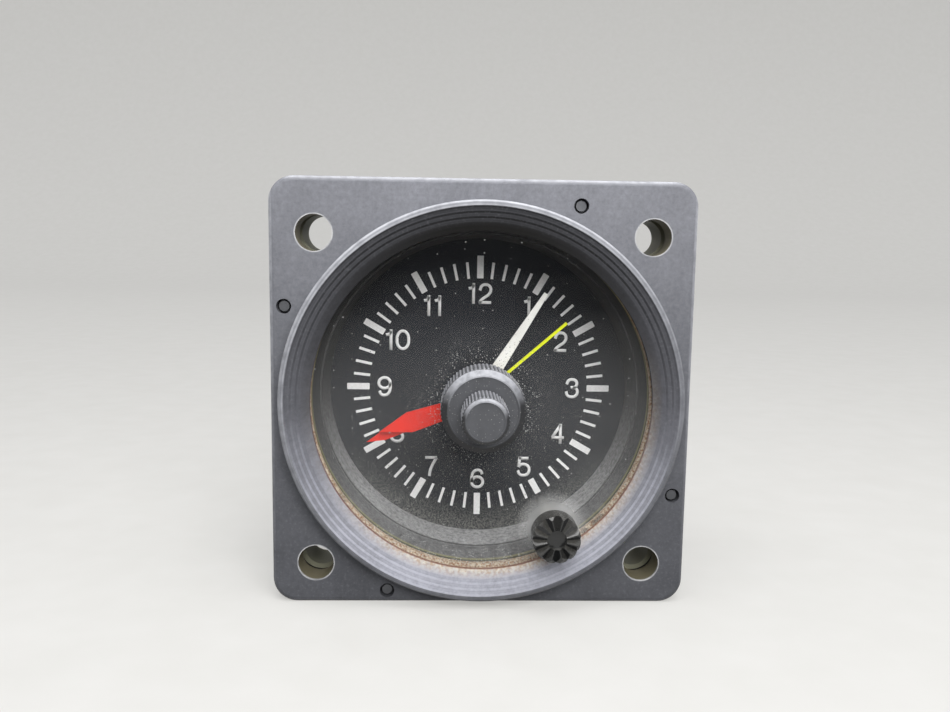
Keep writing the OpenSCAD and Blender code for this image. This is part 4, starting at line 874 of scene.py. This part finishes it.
lip_edge = add(
    bezel,
    "MapRange",
    {"Value": reach, "From Min": lip_r + 0.07 * mm, "From Max": lip_r + 0.02 * mm, "To Max": 0.7},
).outputs[0]
low_half = add(
    bezel, "MapRange", {"Value": height, "From Min": lip_stain_top, "From Max": lip_stain_full}
).outputs[0]
lip_edge = add(bezel, "Math", {0: lip_edge, 1: low_half}, operation="MULTIPLY").outputs[0]
tone = add(bezel, "Mix", {0: lip_edge, 6: tone, 7: linear("#6b3b2a")}, data_type="RGBA").outputs[2]
gloss = add(bezel, "MapRange", {"Value": speckle, "To Min": 0.4, "To Max": 0.6}).outputs[0]
shader = add(
    bezel,
    "BsdfPrincipled",
    {"Base Color": tone, "Roughness": gloss, "Specular IOR Level": 0.18, "Normal": relief},
)
add(bezel, "OutputMaterial", {"Surface": shader.outputs[0]})
dress(bezel, "bezel_flange")


# Case and cover screws: steel, blackened in hot oil. The case screws' tips, in the flange's small holes, are
# given a paler grey steel, as painted light, so that they look lit.
black_steel = bare_metal("oil-blackened steel", "#26272a", "#3a3a3c", 0.48)
dress(black_steel, "cover_screws")
dress(bare_metal("screw steel painted pale as if lit", "#5f6063", "#4b4c4f", 0.5), "case_screws")


# Memory knobs: two tiers of turned, knurled and anodised aluminium on the brass bush. Fingers have rubbed the
# ridges pale, and fine dust specks lie on them. Light is painted in too: the pale ridges and a bright ring
# round each face show only where these look up or high on the knob, and the knurled sides are painted dark as
# shade.
def rubbed_knob(name, knob_r, face_r):
    """Dark grey anodising, rubbed pale on the ridges, with painted light and shade: pale only where these look
    up, a painted highlight round the upper face, and painted shade on the sides.
    """
    knob = new_finish(name)
    place = add(knob, "TexCoord").outputs["Object"]
    normal = add(knob, "TexCoord").outputs["Normal"]
    facing = add(knob, "SeparateXYZ", {0: normal}).outputs["Z"]
    _, tone = drifting(knob, "#38393c", "#505155", size=1.5, detail=6)
    reach = axis_distance(knob, place)
    height = add(knob, "SeparateXYZ", {0: place}).outputs["Z"]
    upper_highlight = add(
        knob, "MapRange", {"Value": height, "From Min": 0.1 * knob_r, "From Max": 0.8 * knob_r}
    ).outputs[0]
    side = add(
        knob, "MapRange", {"Value": reach, "From Min": face_r - 0.12 * mm, "From Max": face_r}
    ).outputs[0]
    # Painted shade: the knurled side and chamfer are darker
    side_shade = add(knob, "Math", {0: side, 1: 0.85}, operation="MULTIPLY").outputs[0]
    tone = add(knob, "Mix", {0: side_shade, 6: tone, 7: linear("#17181a")}, data_type="RGBA").outputs[2]
    # Painted light: the rubbed ridges show pale only where they look up
    lit = add(
        knob, "MapRange", {"Value": facing, "From Min": 0.12, "From Max": 0.55, "To Max": 0.92}
    ).outputs[0]
    tip = add(
        knob, "MapRange", {"Value": reach, "From Min": knob_r - 0.17 * mm, "From Max": knob_r - 0.02 * mm}
    ).outputs[0]
    cone = add(
        knob, "MapRange", {"Value": reach, "From Min": knob_r - 0.14 * mm, "From Max": knob_r - 0.2 * mm}
    ).outputs[0]
    worn_and_lit = add(knob, "Math", {0: tip, 1: cone}, operation="MAXIMUM").outputs[0]
    worn_and_lit = add(knob, "Math", {0: worn_and_lit, 1: side}, operation="MULTIPLY").outputs[0]
    worn_and_lit = add(knob, "Math", {0: worn_and_lit, 1: lit}, operation="MULTIPLY").outputs[0]
    # Painted highlight: a bright ring round the face, high on the knob only
    face_highlight = add(
        knob, "MapRange", {"Value": reach, "From Min": face_r - 0.26 * mm, "From Max": face_r - 0.18 * mm}
    ).outputs[0]
    face_highlight_end = add(
        knob, "MapRange", {"Value": reach, "From Min": face_r + 0.12 * mm, "From Max": face_r + 0.02 * mm}
    ).outputs[0]
    face_highlight = add(knob, "Math", {0: face_highlight, 1: face_highlight_end}, operation="MULTIPLY").outputs[0]
    face_highlight = add(knob, "Math", {0: face_highlight, 1: upper_highlight}, operation="MULTIPLY").outputs[0]
    rubbing = add(knob, "TexNoise", {"Vector": place, "Scale": 1 / (0.8 * mm), "Detail": 5}).outputs[0]
    rubbed = add(
        knob, "MapRange", {"Value": rubbing, "From Min": 0.3, "From Max": 0.6, "To Min": 0.6, "To Max": 1.0}
    ).outputs[0]
    wear_and_highlight = add(knob, "Math", {0: worn_and_lit, 1: face_highlight}, operation="MAXIMUM").outputs[0]
    wear_and_highlight = add(knob, "Math", {0: wear_and_highlight, 1: rubbed}, operation="MULTIPLY").outputs[0]
    tone = add(knob, "Mix", {0: wear_and_highlight, 6: tone, 7: linear("#a9aaaf")}, data_type="RGBA").outputs[2]
    specks = dust_specks(knob, cell=0.35, largest=0.06, share=0.4)
    specks = add(knob, "Math", {0: specks, 1: 0.5}, operation="MULTIPLY").outputs[0]
    tone = add(knob, "Mix", {0: specks, 6: tone, 7: linear("#a9a8a2")}, data_type="RGBA").outputs[2]
    grain, relief = grained(knob, size=0.2, detail=3, strength=0.2, deep=0.02)
    gloss = add(knob, "MapRange", {"Value": grain, "To Min": 0.4, "To Max": 0.62}).outputs[0]
    shader = add(knob, "BsdfPrincipled", {"Base Color": tone, "Roughness": gloss, "Normal": relief})
    add(knob, "OutputMaterial", {"Surface": shader.outputs[0]})
    return knob


dress(brass, "memory_bush", "bush_ring")
dress(rubbed_knob("grey anodising, large knob", knob_r=5.85 * mm, face_r=4.95 * mm), "large_knob")
dress(rubbed_knob("grey anodising, small knob", knob_r=3.13 * mm, face_r=2.68 * mm), "small_knob")


# Set knob: moulded glossy black with V flutes, pressed on a black nylon stem that runs in a pale nylon bush.
# Fine dust sits on its crests, and lies on the stem near the lens.
set_black = new_finish("glossy black moulding")
drift, tone = drifting(set_black, "#0b0c0d", "#17181a", size=1.2, detail=5)
dust = settled_dust(set_black, least=0.0, most=0.2, grain=0.25)
tone = add(set_black, "Mix", {0: dust, 6: tone, 7: linear("#8f8c84")}, data_type="RGBA").outputs[2]
gloss = add(set_black, "MapRange", {"Value": drift, "To Min": 0.1, "To Max": 0.28}).outputs[0]
shader = add(set_black, "BsdfPrincipled", {"Base Color": tone, "Roughness": gloss, "IOR": 1.55})
add(set_black, "OutputMaterial", {"Surface": shader.outputs[0]})
dress(set_black, "set_knob")
dress(moulded("pale grey nylon", "#8f8d86", "#a09e97", 0.5, 0.3), "set_bush", "set_clip")

stem_finish = new_finish("black nylon, dusty towards the lens")
place = add(stem_finish, "TexCoord").outputs["Object"]
depth = add(stem_finish, "SeparateXYZ", {0: place}).outputs["Y"]
drift = add(stem_finish, "TexNoise", {"Vector": place, "Scale": 1 / (0.8 * mm), "Detail": 5}).outputs[0]
clumps = add(
    stem_finish, "MapRange", {"Value": drift, "From Min": 0.3, "From Max": 0.7, "To Min": 0.7}
).outputs[0]
fall = add(
    stem_finish, "MapRange", {"Value": depth, "From Min": dial_face - 1 * mm, "From Max": lens_front + 4 * mm}
).outputs[0]
dust = add(stem_finish, "Math", {0: fall, 1: clumps}, operation="MULTIPLY").outputs[0]
tone = add(
    stem_finish, "Mix", {0: dust, 6: linear("#232425"), 7: linear("#8f8d86")}, data_type="RGBA"
).outputs[2]
gloss = add(stem_finish, "MapRange", {"Value": drift, "To Min": 0.5, "To Max": 0.7}).outputs[0]
shader = add(stem_finish, "BsdfPrincipled", {"Base Color": tone, "Roughness": gloss})
add(stem_finish, "OutputMaterial", {"Surface": shader.outputs[0]})
dress(stem_finish, "set_stem")


# Set spring: hard-drawn steel wire, wound as a coil between the movement plate and the stem's washer, so
# that it shortens as the knob goes in. Here it is a copy of the imported spring, fixed to the clock's body.
crease = math.radians(50)
bpy.ops.object.select_all(action="DESELECT")
spring = nodes["set_spring"].copy()
spring.data = nodes["set_spring"].data.copy()
spring.parent = None
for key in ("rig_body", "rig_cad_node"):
    del spring[key]
spring.name = "set_spring_wire"
bpy.context.collection.objects.link(spring)
bpy.context.view_layer.objects.active = spring
spring.select_set(True)
bpy.ops.object.mode_set(mode="EDIT")
bpy.ops.mesh.select_all(action="SELECT")
bpy.ops.mesh.remove_doubles(threshold=weld_gap)
bpy.ops.object.mode_set(mode="OBJECT")
bpy.ops.object.shade_smooth_by_angle(angle=crease)
spring.data.materials.clear()
spring.data.materials.append(bare_metal("spring steel", "#a9aaad", "#84827f", 0.28))
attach(spring, "clock_body")
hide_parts("set_spring")
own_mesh(spring)


# Case and rear cover: drawn and turned aluminium in a satin grey enamel, with chromate in the holes.
# The cover is screwed on, and carries a plus and a minus mark in white ink beside the terminals.
dress(sprayed("satin grey case enamel", "#4a4b50", "#56575c", 0.55), "rear_cover")
case_paint = new_finish("satin grey enamel, chromate in the holes")
_, tone = drifting(case_paint, "#4a4b50", "#56575c", size=2, detail=5)
in_hole = add(
    case_paint,
    "MapRange",
    {"Value": bolt_distance(case_paint), "From Min": bolt_r + 0.9 * mm, "From Max": bolt_r + 0.7 * mm},
).outputs[0]
tone = add(case_paint, "Mix", {0: in_hole, 6: tone, 7: linear("#8b8a76")}, data_type="RGBA").outputs[2]
grain, relief = grained(case_paint, size=0.15, detail=2, strength=0.2, deep=0.01)
gloss = add(case_paint, "MapRange", {"Value": grain, "To Min": 0.45, "To Max": 0.65}).outputs[0]
shader = add(case_paint, "BsdfPrincipled", {"Base Color": tone, "Roughness": gloss, "Normal": relief})
add(case_paint, "OutputMaterial", {"Surface": shader.outputs[0]})
dress(case_paint, "case")

cover_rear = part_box("rear_cover")[1].y
mark = (0.55 * mm, 2.4 * mm)
mark_up = 5.2 * mm
stud_x = 9 * mm
bars = [ink_bar(mark, -mark[1] / 2, cover_rear, -ink_lift) for _ in range(3)]
for bar, turn, across in zip(bars, (0, 90, 90), (-stud_x, -stud_x, stud_x)):
    bar.data.transform(Matrix.Rotation(math.radians(turn), 4, "Y"))
    bar.data.transform(Matrix.Translation((across, 0, mark_up)))
joined(bars, "terminal_marks", white_ink)


# Terminals: turned brass studs in brown phenolic insulators, each held by brass nuts.
# The brass is bare, with a darker tarnish in patches.
dress(bare_metal("terminal brass", "#b08f4c", "#7d6233", 0.36), "terminal_studs", "terminal_nuts")


# Table: a sheet of pale paper that runs back and sweeps up behind the clock, which stands on its lower edge.
# It looks evenly pale to the camera and in mirrors, keeps the clock's shadow, and throws little light back.
# Its sizes are in metres.
floor_z = flange_low.z
table_w = 3
backdrop_h = 1.6
sweep_r = 0.6
rear_line = 1
bpy.ops.object.select_all(action="DESELECT")
bpy.ops.mesh.primitive_plane_add(size=table_w, location=(0, 0, floor_z))
table = bpy.context.object
bpy.ops.object.transform_apply(location=True)
choose_edges(table, lambda a, b: min(a.y, b.y) > rear_line)
bpy.ops.mesh.extrude_region_move(TRANSFORM_OT_translate={"value": (0, 0, backdrop_h)})
choose_edges(table, lambda a, b: min(a.y, b.y) > rear_line and max(a.z, b.z) < floor_z + sweep_r)
bpy.ops.mesh.bevel(offset=sweep_r, segments=16, affect="EDGES")
bpy.ops.object.mode_set(mode="OBJECT")
bpy.ops.object.shade_smooth()
table.name = "table"
paper = new_finish("pale paper")
_, tone = drifting(paper, "#d8d7d3", "#dfdedb", size=8, detail=6)
bounced = add(paper, "BsdfDiffuse", {"Color": linear("#6c6c6c")})
lit = add(paper, "BsdfDiffuse", {"Color": tone})
even = add(paper, "Emission", {"Color": tone, "Strength": 1.0})
seen = add(paper, "MixShader", {0: 0.55, 1: lit.outputs[0], 2: even.outputs[0]})
path = add(paper, "LightPath")
straight = add(
    paper, "Math", {0: path.outputs["Is Camera Ray"], 1: path.outputs["Is Glossy Ray"]}, operation="MAXIMUM"
).outputs[0]
straight = add(
    paper, "Math", {0: straight, 1: path.outputs["Is Transmission Ray"]}, operation="MAXIMUM"
).outputs[0]
surface = add(paper, "MixShader", {0: straight, 1: bounced.outputs[0], 2: seen.outputs[0]})
add(paper, "OutputMaterial", {"Surface": surface.outputs[0]})
table.data.materials.append(paper)


# Lamps: a wide soft key lamp high in front, a little to the right, and a small weak one right above.
# Pale room light fills the rest, and is brighter overhead.
def soft_lamp(name, place, width, height, power):
    """A soft rectangular lamp that looks at the middle of the clock's face."""
    look = -Vector(place)
    bpy.ops.object.light_add(type="AREA", location=place, rotation=look.to_track_quat("-Z", "Y").to_euler())
    lamp = bpy.context.object
    lamp.name = name
    lamp.data.shape = "RECTANGLE"
    lamp.data.size = width
    lamp.data.size_y = height
    lamp.data.energy = power


soft_lamp("key lamp", (0.075, -0.415, 0.27), width=0.36, height=0.3, power=2.6)
soft_lamp("overhead lamp", (0, -0.05, 0.16), width=0.12, height=0.08, power=0.14)
room = bpy.data.worlds.new("room light")
room.use_nodes = True
place = add(room, "TexCoord").outputs["Generated"]
height = add(room, "SeparateXYZ", {0: place}).outputs["Z"]
strength = add(
    room, "MapRange", {"Value": height, "From Min": -0.1, "From Max": 1.0, "To Min": 0.3, "To Max": 1.1}
).outputs[0]
sky = room.node_tree.nodes["Background"]
sky.inputs["Color"].default_value = linear("#f2f3f6")
room.node_tree.links.new(strength, sky.inputs["Strength"])
bpy.context.scene.world = room
bpy.context.scene.view_settings.view_transform = "Standard"


# Camera: held close, 120 mm in front of the flange and 22 mm above the axis, tipped down by seven degrees.
# Its place, turn and lens were fitted to the bolt holes and the ticks.
camera_place = (-5.05 * mm, -120.1 * mm, 21.9 * mm)
camera_turn = (82.79, -0.87, -1.78)
sensor_w = 36
focal_length = 32.63
bpy.ops.object.camera_add(location=camera_place, rotation=[math.radians(a) for a in camera_turn])
camera = bpy.context.object
camera.data.sensor_width = sensor_w
camera.data.lens = focal_length
camera.data.clip_start = 5 * mm
bpy.context.scene.camera = camera
